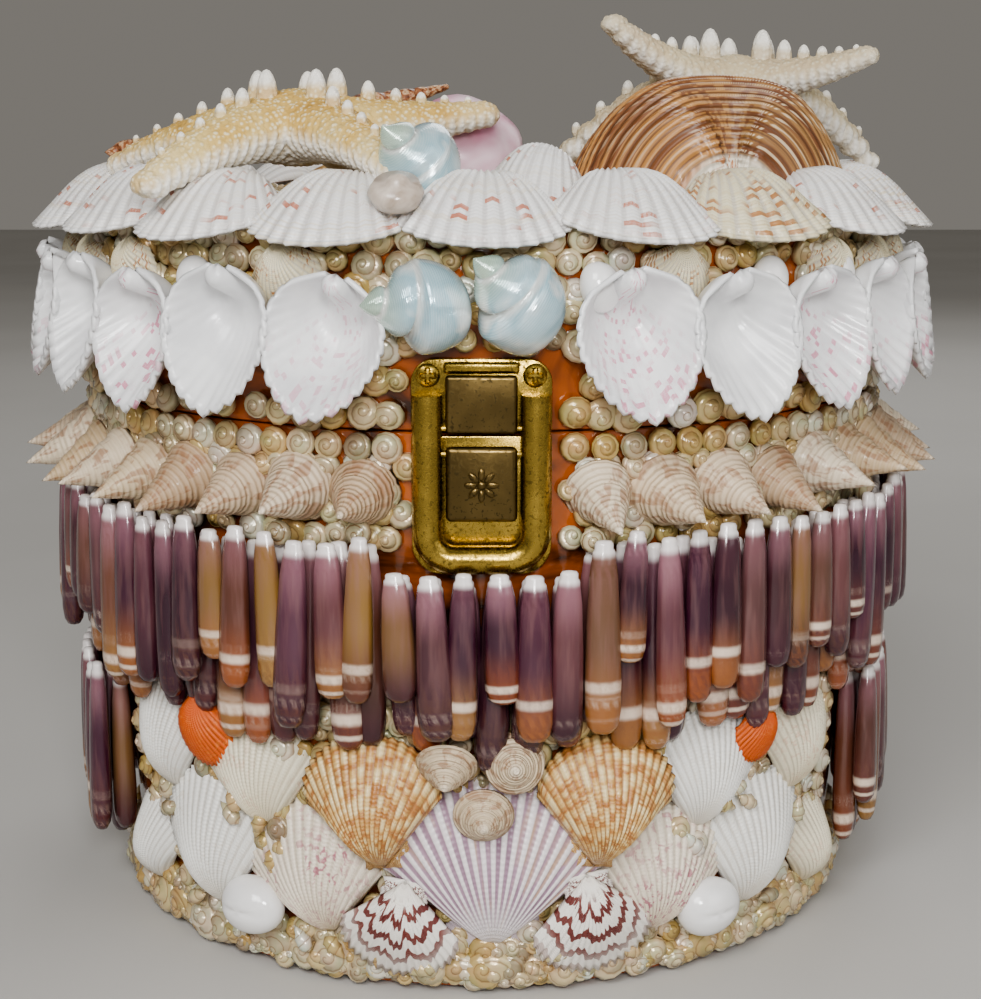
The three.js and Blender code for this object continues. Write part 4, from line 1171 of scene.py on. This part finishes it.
def make_cones():
    """The row of pointed top shells under the seam."""
    draw = random.Random(sizes().seed + 1)
    mould = top_shell_mould()
    middle = middle_of("cone_shells_left")[2] + 1.0
    width = sizes().cone / MM
    places = []
    for start, end in clear_arcs(LATCH_ANGLE + 1):
        for angle in ring_angles(start, end, width, RIM):
            turn, lean = draw.uniform(-12, 12), 14 + draw.uniform(-8, 8)
            scale = width / 2 * draw.uniform(1.05, 1.2)
            places.append(at_wall(angle, middle + draw.uniform(-1.2, 1.2), 0.5, turn, lean, scale))
    lay("pointed_top_shells", mould, places, "top_shell", "box", "top_shells",
        ["cone_shells_left", "cone_shells_right"], 21)


def spine_places(draw, start, end, width, radius, top, length, spread, notch=None):
    """Spines side by side, their lengths spread at random, their heads lower under the latch."""
    places = []
    for angle in ring_angles(start, end, width, radius):
        away = min(angle % 360, 360 - angle % 360)
        head = top + draw.uniform(-2.5, 1.5)
        if notch and away < LATCH_ANGLE + 1:
            head = notch + draw.uniform(0.5, 2)
        long = length - spread * draw.random() ** 1.4 - (top - head) * 0.55
        place = turn_about("Z", angle) @ Matrix.Translation((0, -radius, head))
        place = place @ turn_about("Y", draw.uniform(-3, 3))
        place = place @ turn_about("X", draw.uniform(-1.2, 1.2))
        girth = draw.uniform(0.9, 1.08)
        places.append(place @ Matrix.Diagonal((girth, girth, long, 1)))
    return places


def make_spines():
    """The urchin spines: a short row under a long one, and two more rows low on the sides."""
    draw = random.Random(sizes().seed + 2)
    mould = spine_mould(sizes().spine_width / MM)
    top = top_of("spines_outer")
    under_top = top_of("spines_under") - 4
    notch = LATCH_LOW[2] / MM + 1.5
    length = sizes().spine / MM
    under = spine_places(draw, 0, 360, 9.6, RIM + 4.2, under_top, length + 2, 12, notch - 3)
    lay("under_spines", mould, under, "spine", "box", "urchin_spines", ["spines_under"], 31)
    outer = spine_places(draw, 0, 360, 10.3, RIM + 12.4, top, length - 4, 22, notch)
    lay("outer_spines", mould, outer, "spine", "box", "urchin_spines", ["spines_outer"], 32)
    side_top = top_of("spines_sides")
    side = spine_places(draw, 63, 297, 10.6, RIM + 8.5, side_top + 4, length - 2, 14)
    side += spine_places(draw, 64, 296, 11.5, RIM + 0.5, side_top + 2, length + 4, 12)
    lay("side_spines", mould, side, "spine", "box", "urchin_spines", ["spines_sides"], 33)


def make_fans():
    """The cockles that lean out over the lid's edge."""
    draw = random.Random(sizes().seed + 3)
    count, length = 20, 43
    mould = valve(length, sizes().fan / MM, 12.5, ribs=19, spread=66, depth=1.0, crimp=0.035, thick=1.2)
    slope = math.radians(16)
    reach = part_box("lid_edge_fans")[1][0] / MM
    middle = reach - 1.7 - length / 2 * math.cos(slope)
    lift = (RIM - middle) * math.tan(slope) + 0.6
    places, spotted = [], []
    for k in range(count):
        place = turn_about("Z", k * 360 / count + draw.uniform(-1.5, 1.5))
        place = place @ Matrix.Translation((0, -middle, LID_TOP + lift + draw.uniform(-0.3, 0.6)))
        place = place @ Matrix.Rotation(slope, 4, "X")
        place = place @ Matrix.Rotation(math.pi + math.radians(draw.uniform(-7, 7)), 4, "Z")
        place = place @ turn_about("Y", draw.uniform(-4, 4))
        (spotted if k in (2, 9, 14) else places).append(place)
    lay("edge_cockles", mould, places, "fan", "lid", "white_shell", ["lid_edge_fans"], 41)
    lay("spotted_edge_cockles", mould, spotted, "spotted_fan", "lid", "white_shell", seed=42)


def cup_mould():
    """A hollow valve seen from its inside, with a hooded beak at +y and a pointed lower margin."""
    length, width, depth, ribs = sizes().cup / MM, 40.0, 15.5, 20

    def shape(u, v):
        side = 2 * u - 1
        angle = side * math.radians(66)
        ridge = math.cos(TAU * ribs * u)
        edge = max(0, v - 0.75) / 0.25
        point = 1 + 0.14 * v * max(0, 1 - 2.2 * abs(side)) - 0.07 * v
        reach = length * math.cos(angle) * v * point * (1 + 0.022 * ridge * edge)
        arch = math.sqrt(max(0, 1 - side * side))
        sink = depth * arch * math.sin(math.pi * max(0, (v - 0.17) / 0.83) ** 0.55)
        hood = 3.2 * arch * math.sin(math.pi * min(1, v / 0.2)) if v < 0.2 else 0
        sink += 0.35 * ridge * max(0, v - 0.3) * arch
        x, y = -reach * math.sin(angle) * width / length, length / 2 - reach * math.cos(angle)
        return (x, y, depth - sink + hood)
    piece = shaped_grid(ribs * 4, 18, shape)
    apply_modifier(piece, "SOLIDIFY", thickness=1.5, offset=1.0)
    return Mould(piece)


def make_cups():
    """The hollow valves that hang round the lid, and the small valves and eggs between them."""
    draw = random.Random(sizes().seed + 4)
    mould = cup_mould()
    back = valve(25, 24, 7, ribs=19, spread=64, depth=0.7, thick=1.0)
    height = LID_BASE + 25
    for side, sign in (("right", 1), ("left", -1)):
        places = []
        for angle in CUP_ANGLES:
            angle *= sign
            turn, lean = sign * 8 + draw.uniform(-11, 11), -10 + draw.uniform(-3, 3)
            level = height + draw.uniform(-1, 1)
            places.append(at_wall(angle, level, 4, turn, lean, draw.uniform(0.96, 1.03)))
        lay(f"hanging_valves_{side}", mould, places, "cup", "lid", "white_shell",
            [f"cup_shells_{side}"], 51 + sign)
    first_gap = CUP_START + CUP_STEP / 2
    between = [sign * (first_gap + CUP_STEP * k) for sign in (-1, 1) for k in (0, 2, 3, 4, 6, 7)]
    backs = [at_wall(angle, height + 17 + draw.uniform(-1, 1), 3, 180 + draw.uniform(-12, 12), 4)
             for angle in between]
    lay("valves_behind", back, backs, "spotted_fan", "lid", "white_shell", seed=53)
    egg = egg_mould()
    eggs = [at_wall(angle, LID_BASE + 42, 6, draw.uniform(-20, 20)) @ Matrix.Diagonal((6, 7.5, 5.5, 1))
            for angle in (-36.5, 13.5, 36.5, 50, 88, -88)]
    lay("lid_eggs", egg, eggs, "cowrie", "lid", "white_shell", seed=54)


def make_rear():
    """The hidden rear: flat valves beside the hinge, and snails round the lid's top."""
    draw = random.Random(sizes().seed + 5)
    flat = valve(26, 27, 6, ribs=16, depth=0.4, thick=1.0)
    places = [at_wall(180 + angle, LID_BASE + 31, 2.5, 180 + draw.uniform(-15, 15))
              for angle in (-26, -13, 0, 13, 26)]
    lay("rear_valves", flat, places, "fan", "lid", "white_shell", seed=61)
    snails = []
    for radius in range(14, 118, 10):
        for angle in ring_angles(0, 360, 9.6, radius):
            x, y = radius * math.sin(math.radians(angle)), -radius * math.cos(math.radians(angle))
            scale = draw.uniform(4.4, 5.2)
            turn, tilt = draw.uniform(0, 360), draw.uniform(-12, 12)
            snails.append(at_lid(x, y, 1.2, turn, tilt, (scale, scale, scale)))
    lay("lid_top_snails", small_snail(10), snails, "pearl", "lid", "pearly_snails", seed=62)


# Lifts off the wall, in millimetres: a valve against it, and one that lies over its neighbours
LOW_VALVE, HIGH_VALVE = 1.6, 6.5

# For each valve its paint, its slot, its place (angle, height, lift and turn), and its form
# (length, width, dome and ears)
VALVES = {
    "scallop_striped_left": ("striped", "striped_scallop", (-10.8, 23, HIGH_VALVE, 172), (33, 38, 8, 7)),
    "scallop_striped_right": ("striped", "striped_scallop", (14.6, 24, HIGH_VALVE, 188), (34, 39, 8, 7)),
    "scallop_calico_left": ("calico", "calico_scallop", (-13.9, 65, HIGH_VALVE, 8), (44, 45, 13, 6)),
    "scallop_calico_right": ("calico", "calico_scallop", (15.8, 65, HIGH_VALVE, -8), (44, 45, 13, 6)),
    "scallop_centre": ("violet", "violet_scallop", (1.4, 44, LOW_VALVE, 0), (58, 74, 10, 12)),
    "scallop_pink_left": ("pink", "pink_shell", (-23.5, 38, LOW_VALVE, 14), (46, 48, 10, 5)),
    "scallop_pink_right": ("pink", "pink_shell", (25.4, 37, LOW_VALVE, -14), (44, 45, 10, 5)),
    "scallop_orange_left": ("orange", "orange_scallop", (-39.5, 80, HIGH_VALVE, 180), (27, 26, 7, 4)),
    "scallop_orange_right": ("orange", "orange_scallop", (39, 79, HIGH_VALVE, 180), (22, 19, 6, 3)),
    "scallop_cream_left": ("cream", "cream_shell", (-32.0, 70, LOW_VALVE, 12), (45, 43, 9, 5)),
    "scallop_cream_right": ("white", "cream_shell", (32.0, 69, LOW_VALVE, -12), (43, 40, 9, 5)),
    "scallop_white_left": ("white", "white_shell", (-41.5, 39, LOW_VALVE, 14), (48, 47, 10, 4)),
    "scallop_white_right": ("white", "white_shell", (42, 39, LOW_VALVE, -14), (48, 46, 10, 4)),
    "scallop_outer_left": ("white", "cream_shell", (-51.0, 72, LOW_VALVE, 10), (43, 40, 9, 4)),
    "scallop_outer_right": ("cream", "cream_shell", (51.0, 71, LOW_VALVE, -10), (43, 40, 9, 4)),
    "cockle_foot_left": ("white", "cream_shell", (-57.5, 28, LOW_VALVE, 10), (32, 31, 10, 0)),
    "cockle_foot_right": ("cream", "cream_shell", (57, 27, LOW_VALVE, -10), (32, 31, 10, 0)),
}


def under_valve(place, form):
    """The stretch of wall that a valve covers: from angle, to angle, from height, to height."""
    half = math.degrees(0.38 * form[1] / FOOT)
    return place[0] - half, place[0] + half, place[1] - 0.4 * form[0], place[1] + 0.4 * form[0]


def make_medallion():
    """The bivalves, top shells and cowries on the front of the body."""
    for number, (node, (paint, slot, place, form)) in enumerate(VALVES.items()):
        angle, height, lift, turn = place
        length, width, dome, ears = form
        ribs = 22 if paint == "violet" else 20
        spread, fan = (54, 0.6) if paint in ("white", "cream", "pink", "orange") else (48, 0.45)
        mould = valve(length, width, dome, ribs=ribs, spread=spread, fan=fan, depth=0.9, crimp=0.012,
                      ears=ears, thick=1.1)
        lay(f"{node}_shell", mould, [at_wall(angle, height, lift, turn, WALL_LEAN)], paint, "box", slot,
            [node], 70 + number)
    knob = top_shell_mould(1.05, 24, 28, 4.0, 0.75)
    limpets = (("limpet_left", -4.2, 80), ("limpet_right", 3.8, 80), ("limpet_low", 0.2, 64))
    for node, angle, height in limpets:
        place = at_wall(angle, height, 10.5, 40 * angle, 12 - 5 * angle, 9.4)
        lay(f"{node}_shell", knob, [place], "top_shell", "box", "top_shells", [node], 90, [0.06])
    for node, angle in (("cowrie_left", -32.6), ("cowrie_right", 31.4)):
        place = at_wall(angle, 22.5, 8) @ Matrix.Diagonal((11.5, 9.6, 8, 1))
        lay(f"{node}_shell", egg_mould(0.1), [place], "cowrie", "box", "white_shell", [node], 91)


def arm_girth(thickness, share):
    """Half the width of a starfish's arm, that share of the way to its tip."""
    return thickness * (0.56 - 0.36 * share ** 0.8)


def starfish_mould(arms, thickness, knob=1.0):
    """A knobbly starfish from swollen arms: each arm is (angle, length, drop at its tip)."""
    blobs = []
    for angle, length, drop in arms:
        for k in range(11):
            share = k / 10
            girth = arm_girth(thickness, share)
            place = (*polar(0.94 * length * share, angle), -(drop * share ** 2))
            blobs.append(ball(16, 10, place, (girth * 1.2, girth * 1.2, girth * 0.86)))
    star = join(blobs)
    apply_place(star)
    apply_modifier(star, "REMESH", mode="VOXEL", voxel_size=0.9)
    apply_modifier(star, "SMOOTH", factor=0.5, iterations=6)
    whites = swell_edges(star, arms)
    knobs = [star]
    for angle, length, drop in arms:
        knobs += arm_knobs(angle, length, drop, thickness, knob)
    store(star.data, "white", whites)
    return Mould(join(knobs))


def swell_edges(star, arms):
    """Raises the marginal plates along each arm's edges, and says how white each point is."""
    whites = np.zeros(len(star.data.vertices), np.float32)
    moves = []
    for number, vertex in enumerate(star.data.vertices):
        x, y, z = vertex.co
        turn = math.degrees(math.atan2(y, x))
        angle, length, drop = min(arms, key=lambda arm: abs((turn - arm[0] + 180) % 360 - 180))
        heading = Vector((*polar(1, angle), 0))
        out = vertex.co.dot(heading)
        side = heading.x * y - heading.y * x
        low = z + drop * (max(0, out) / length) ** 2
        edge = max(0, min(1, (1.5 - low) / 3)) * max(0, min(1, abs(side) / 4))
        plates = 0.5 + 0.5 * math.cos(out * TAU / 3.2)
        grain = 0.35 * math.sin(1.9 * x) * math.sin(2.1 * y)
        moves.append(vertex.normal * (0.9 * plates * edge + grain * (1 - edge)))
        underside, tip = 0.3 * (low < -2), 0.6 * max(0, out / length - 0.7)
        whites[number] = min(1, underside + 0.8 * edge * (0.3 + 0.7 * plates) + tip)
    for vertex, move in zip(star.data.vertices, moves):
        vertex.co += move
    return whites


def arm_knobs(angle, length, drop, thickness, size):
    """A tall knob at the arm's root and smaller ones along its ridge."""
    made = []
    ridge = [
        (0.2, 3.4, 9.0), (0.36, 2.5, 6.0), (0.5, 2.0, 4.2), (0.63, 1.8, 3.2), (0.75, 1.5, 2.4),
        (0.87, 1.2, 1.9)]
    for share, girth, rise in ridge:
        height = arm_girth(thickness, share) * 0.8 - drop * share ** 2
        form = (girth * size, girth * size, rise * size)
        knob = ball(12, 10, (*polar(share * length, angle), height), form)
        apply_place(knob)
        bright = height + 0.35 * rise * size
        store(knob.data, "white", [1.0 if vertex.co.z > bright else 0.25 for vertex in knob.data.vertices])
        made.append(knob)
    return made


def make_lid_top():
    """The starfish, the clam, the turbans and the other large shells on the lid."""
    arms = [(154, 72, 12), (226, 60, 16), (305, 62, 12), (8, 62, -4), (82, 72, 12)]
    left = starfish_mould(arms, 25)
    lay("starfish_left_body", left, [at_lid(-58, -78, 27)], "star", "lid", "starfish",
        ["starfish_left"], 101, [0.0])
    arms = [(205, 50, -18), (335, 48, -8), (158, 76, 36), (24, 60, 27), (92, 66, 41)]
    right = starfish_mould(arms, 19, 1.1)
    lay("starfish_right_body", right, [at_lid(86, -24, 42.2)], "star", "lid", "starfish",
        ["starfish_right"], 102, [1.0])
    clam = valve(74, 96, 43, ribs=30, spread=78, depth=0.0, crimp=0.0, thick=1.8, fineness=5, along=120,
                 rings=0.4, fullness=0.6)
    lay("brown_clam", clam, [at_lid(74, -49, 0.4, 6)], "clam", "lid", "brown_clam", ["clam"], 103)
    turban = turban_mould()
    turban_height = top_of("latch_strike") + 16
    size = 13.4
    lay("pearl_turban_top", turban, [at_lid(-18, -121, 15.5, -40, 52, (size, size, size))], "nacre", "lid",
        "blue_nacre", ["turban_top"], 104)
    tilted = turn_about("X", -65)
    for side, angle, turn, size in (("left", -5.6, 92, 13.6), ("right", 4.4, 48, 14.0)):
        place = at_wall(angle, turban_height, 11.8, turn, -10) @ tilted
        place = place @ Matrix.Diagonal((size, size, size, 1))
        lay(f"pearl_turban_{side}", turban, [place], "nacre", "lid", "blue_nacre", [f"turban_{side}"], 105)
    lay("button_snail_shell", small_snail(28), [at_lid(-24, -143, 9, 0, 30, (8, 8, 8))], "button", "lid",
        "top_shells", ["button_snail"], 107)
    grey = valve(38, 42, 22, ribs=24, depth=0.6, thick=1.1)
    lay("grey_cockle", grey, [at_lid(15, -98, 0.4, 150)], "fan", "lid", "violet_scallop",
        ["cockle_grey"], 108)
    tellin = valve(34, 42, 9, ribs=4, spread=80, depth=0.0, thick=1.2, along=20, fineness=8)
    lay("pink_tellin", tellin, [at_lid(-8, -58, 20, 6, 86)], "tellin", "lid", "pink_shell", ["tellin"], 109)
    auger = auger_mould()
    lay("brown_auger", auger, [at_lid(-58, -8, 29, -65, -76, (7.4, 7.4, 26))], "auger", "lid",
        "auger_shell", ["auger_brown"], 110)
    lay("red_auger", auger, [at_lid(-132, -18, 18.5, -70, -92, (5.6, 5.6, 21))], "auger", "lid",
        "auger_shell", ["auger_red"], 111)
    big = valve(70, 72, 16, ribs=22, ears=12, depth=1.0, thick=1.4)
    lay("rear_scallop_left", big, [at_lid(-48, 62, 0.4, 40)], "calico", "lid", "calico_scallop",
        ["scallop_top_left"], 112)
    small = valve(58, 60, 14, ribs=20, ears=10, depth=0.9, thick=1.3)
    lay("rear_scallop_right", small, [at_lid(40, 80, 0.4, -25)], "white", "lid", "white_shell",
        ["scallop_top_right"], 113)


def auger_mould():
    """A slender whorled cone along z, two units long and two across."""
    def shape(u, v):
        taper = 1 - v
        whorl = 1 + 0.07 * math.sin(TAU * (v * 9 - u))
        radius = min(1, 6 * v) * (0.12 + 0.88 * taper) * whorl if 0 < v < 1 else 0
        return turned(radius, u, 2 * v)
    return Mould(shaped_grid(18, 60, shape))


def corner_arc(x, z, radius, start, steps=8):
    """The points of a quarter of a circle about a point, from an angle in degrees."""
    turns = [math.radians(start + 90 * k / steps) for k in range(steps + 1)]
    return [(x + radius * math.cos(turn), z + radius * math.sin(turn)) for turn in turns]


def rounded_frame(width, bottom, top, corner):
    """The points of a U, down one side, round its two lower corners and up the other."""
    half = width / 2 - corner
    return [(-width / 2, top), *corner_arc(-half, bottom + corner, corner, 180),
            *corner_arc(half, bottom + corner, corner, 270), (width / 2, top)]


def round_plate(name, width, bottom, top, lower, upper, thickness, back):
    """A flat plate against the wall, with its lower and upper corners rounded."""
    half = width / 2
    outline = [
        *corner_arc(half - upper, top - upper, upper, 0), *corner_arc(upper - half, top - upper, upper, 90),
        *corner_arc(lower - half, bottom + lower, lower, 180),
        *corner_arc(half - lower, bottom + lower, lower, 270)]
    deselect()
    bpy.ops.mesh.primitive_circle_add(vertices=len(outline), radius=1, fill_type="NGON", location=(0, 0, 0))
    piece = bpy.context.object
    piece.name = name
    for vertex, (x, z) in zip(piece.data.vertices, outline):
        vertex.co = (x * MM, -back * MM, z * MM)
    weld(piece, PIECE_WELD)
    outward = piece.data.polygons[0].normal.y < 0
    apply_modifier(piece, "SOLIDIFY", thickness=thickness * MM, offset=1.0 if outward else -1.0)
    weld(piece, PIECE_WELD)
    apply_modifier(piece, "BEVEL", width=0.4 * MM, segments=2, limit_method="ANGLE")
    return piece


def block(name, width, depth, height, middle, bevel, segments=3):
    """A beveled block, its middle given in millimetres."""
    deselect()
    bpy.ops.mesh.primitive_cube_add(size=1, location=[value * MM for value in middle])
    piece = bpy.context.object
    piece.name = name
    piece.scale = (width * MM, depth * MM, height * MM)
    apply_place(piece)
    apply_modifier(piece, "BEVEL", width=bevel * MM, segments=segments, limit_method="NONE")
    return piece


def settle(piece, paint, body, nodes):
    """Paints a metal piece, and gives it its body and the CAD nodes that it replaces."""
    choose(piece)
    bpy.ops.object.shade_smooth_by_angle(angle=math.radians(40))
    piece.data.materials.clear()
    piece.data.materials.append(paint_of(paint))
    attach(piece, body)
    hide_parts(*nodes)


def flap(name, node, depth, bevel):
    """A beveled block as high as its CAD node, and in the same place."""
    low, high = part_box(node)
    _, y, z = middle_of(node)
    return block(name, FLAP_WIDTH, depth, (high[2] - low[2]) / MM, (0, y, z), bevel, 4)


def make_brass():
    """The latch, its screws and the hinge."""
    front = RIM + 0.3
    bottom = LATCH_LOW[2] / MM
    plate = round_plate("latch_plate", LATCH_WIDTH, bottom, SEAM - 0.5, 9, 0.6, 1.6, front)
    tube = frame_tube(31.5, bottom + 5.2, LATCH_HIGH[2] / MM - 1, 8, front + 4.6)
    settle(join_all("latch_frame", [plate, tube]), "brass", "box", ["latch_base"])
    strike_low, strike_high = (corner[2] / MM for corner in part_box("latch_strike"))
    strike = round_plate("strike_plate", LATCH_WIDTH, strike_low, strike_high, 0.6, 7, 1.3, front)
    bump = block("strike_bump", 22, 2.2, 3.4, (0, -front - 1.6, strike_high - 2.6), 1.0)
    settle(join_all("strike_plate_brass", [strike, bump]), "brass", "lid",
        ["latch_strike"])
    for side in ("left", "right"):
        x, _, z = middle_of(f"latch_screw_{side}")
        screw = cross_screw((x, z), front + 1.7)
        settle(screw, "brass", "lid", [f"latch_screw_{side}"])
    lever = flap("lever", "latch_lever", 4.2, 1.6)
    rosette = lever_rosette(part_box("latch_lever")[0][1] / MM, middle_of("latch_lever")[2])
    settle(join_all("latch_lever_brass", [lever, rosette]), "darker_brass", "latch_lever",
        ["latch_lever"])
    tongue = flap("tongue", "latch_tongue", 2.9, 1.2)
    settle(tongue, "darker_brass", "latch_tongue", ["latch_tongue"])
    for node in ("latch_lever_pin", "latch_tongue_pin", "hinge_leaf_body", "hinge_leaf_lid", "hinge_pin"):
        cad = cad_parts[node]
        cad.data.materials.clear()
        cad.data.materials.append(paint_of("brass"))


def frame_tube(width, bottom, top, corner, radius):
    """The raised rounded frame of the latch, a swept U."""
    curve = bpy.data.curves.new("latch_tube", "CURVE")
    curve.dimensions = "3D"
    curve.bevel_depth = 4.4 * MM
    curve.bevel_resolution = 5
    curve.use_fill_caps = True
    spline = curve.splines.new("POLY")
    points = rounded_frame(width, bottom, top, corner)
    spline.points.add(len(points) - 1)
    for point, (x, z) in zip(spline.points, points):
        point.co = (x * MM, -radius * MM, z * MM, 1)
    item = bpy.data.objects.new("latch_tube", curve)
    bpy.context.scene.collection.objects.link(item)
    choose(item)
    bpy.ops.object.convert(target="MESH")
    return bpy.context.object


def cross_screw(place, radius):
    """A round-headed screw with a cross cut in it."""
    head = ball(32, 16)
    for vertex in head.data.vertices:
        x, y, z = vertex.co
        near = min(abs(x), abs(y))
        far = max(abs(x), abs(y))
        cut = 0.7 if near < 0.16 and far < 0.62 and z > 0.2 else 0.0
        proud = radius + 1.1 * max(0, z) - cut
        vertex.co = ((place[0] + 3.5 * x) * MM, -proud * MM, (place[1] + 3.5 * y) * MM)
    weld(head, PIECE_WELD)
    return head


def lever_rosette(front, height):
    """Faint petals in low relief on the lever."""
    petals = []
    for k in range(8):
        turn = k * TAU / 8
        place = (3.2 * math.cos(turn) * MM, front * MM, (height + 3.2 * math.sin(turn)) * MM)
        petals.append(ball(12, 8, place, (1.9 * MM, 0.5 * MM, 1.0 * MM), (0, -turn, 0)))
    petals.append(ball(14, 8, (0, front * MM, height * MM), (1.3 * MM, 0.7 * MM, 1.3 * MM)))
    rosette = join_all("rosette", petals)
    apply_place(rosette)
    return rosette


class SHELLBOX_OT_stage(bpy.types.Operator):
    """Make the floor, the lights and the camera"""
    bl_idname = "shell_box.stage"
    bl_label = "Stage"

    def execute(self, context):
        make_stage()
        return {"FINISHED"}


class SHELLBOX_OT_drum(bpy.types.Operator):
    """Make the lacquered drum and its lid"""
    bl_idname = "shell_box.drum"
    bl_label = "Drum and lid"

    def execute(self, context):
        make_drum()
        return {"FINISHED"}


class SHELLBOX_OT_beads(bpy.types.Operator):
    """Lay the rows and garlands of small snails"""
    bl_idname = "shell_box.beads"
    bl_label = "Snails"

    def execute(self, context):
        make_beads()
        return {"FINISHED"}


class SHELLBOX_OT_cones(bpy.types.Operator):
    """Lay the row of pointed top shells"""
    bl_idname = "shell_box.cones"
    bl_label = "Top shells"

    def execute(self, context):
        make_cones()
        return {"FINISHED"}


class SHELLBOX_OT_spines(bpy.types.Operator):
    """Hang the urchin spines"""
    bl_idname = "shell_box.spines"
    bl_label = "Spines"

    def execute(self, context):
        make_spines()
        return {"FINISHED"}


class SHELLBOX_OT_fans(bpy.types.Operator):
    """Lay the cockles over the lid's edge"""
    bl_idname = "shell_box.fans"
    bl_label = "Edge cockles"

    def execute(self, context):
        make_fans()
        return {"FINISHED"}


class SHELLBOX_OT_cups(bpy.types.Operator):
    """Hang the hollow valves round the lid"""
    bl_idname = "shell_box.cups"
    bl_label = "Hanging valves"

    def execute(self, context):
        make_cups()
        return {"FINISHED"}


class SHELLBOX_OT_rear(bpy.types.Operator):
    """Finish the hidden rear"""
    bl_idname = "shell_box.rear"
    bl_label = "Rear"

    def execute(self, context):
        make_rear()
        return {"FINISHED"}


class SHELLBOX_OT_medallion(bpy.types.Operator):
    """Lay the scallops on the front"""
    bl_idname = "shell_box.medallion"
    bl_label = "Medallion"

    def execute(self, context):
        make_medallion()
        return {"FINISHED"}


class SHELLBOX_OT_lid_top(bpy.types.Operator):
    """Set the starfish and large shells on the lid"""
    bl_idname = "shell_box.lid_top"
    bl_label = "Lid top"

    def execute(self, context):
        make_lid_top()
        return {"FINISHED"}


class SHELLBOX_OT_brass(bpy.types.Operator):
    """Make the latch and the hinge"""
    bl_idname = "shell_box.brass"
    bl_label = "Brass"

    def execute(self, context):
        make_brass()
        return {"FINISHED"}


# In the order in which main runs them
OPERATORS = [
    SHELLBOX_OT_stage, SHELLBOX_OT_drum, SHELLBOX_OT_beads, SHELLBOX_OT_cones, SHELLBOX_OT_spines,
    SHELLBOX_OT_fans, SHELLBOX_OT_cups, SHELLBOX_OT_rear, SHELLBOX_OT_medallion, SHELLBOX_OT_lid_top,
    SHELLBOX_OT_brass,
]


class SHELLBOX_PT_panel(bpy.types.Panel):
    """Lists the sizes, colours and steps of the shell box"""
    bl_idname = "SHELLBOX_PT_panel"
    bl_label = "Shell Box"
    bl_space_type = "VIEW_3D"
    bl_region_type = "UI"
    bl_category = "Shell Box"

    def draw(self, context):
        for group in (context.scene.shell_box_sizes, context.scene.shell_box_colours):
            for name in group.__annotations__:
                self.layout.prop(group, name)
        for item in OPERATORS:
            self.layout.operator(item.bl_idname)


CLASSES = [ShellBoxSizes, ShellBoxColours, *OPERATORS, SHELLBOX_PT_panel]


def register():
    for item in CLASSES:
        bpy.utils.register_class(item)
    bpy.types.Scene.shell_box_sizes = bpy.props.PointerProperty(type=ShellBoxSizes)
    bpy.types.Scene.shell_box_colours = bpy.props.PointerProperty(type=ShellBoxColours)


def unregister():
    del bpy.types.Scene.shell_box_sizes
    del bpy.types.Scene.shell_box_colours
    for item in reversed(CLASSES):
        bpy.utils.unregister_class(item)


def main():
    """Makes the whole box."""
    register()
    for item in OPERATORS:
        getattr(bpy.ops.shell_box, item.bl_idname.split(".")[1])()
    bpy.context.view_layer.update()


if __name__ == "__main__":
    main()
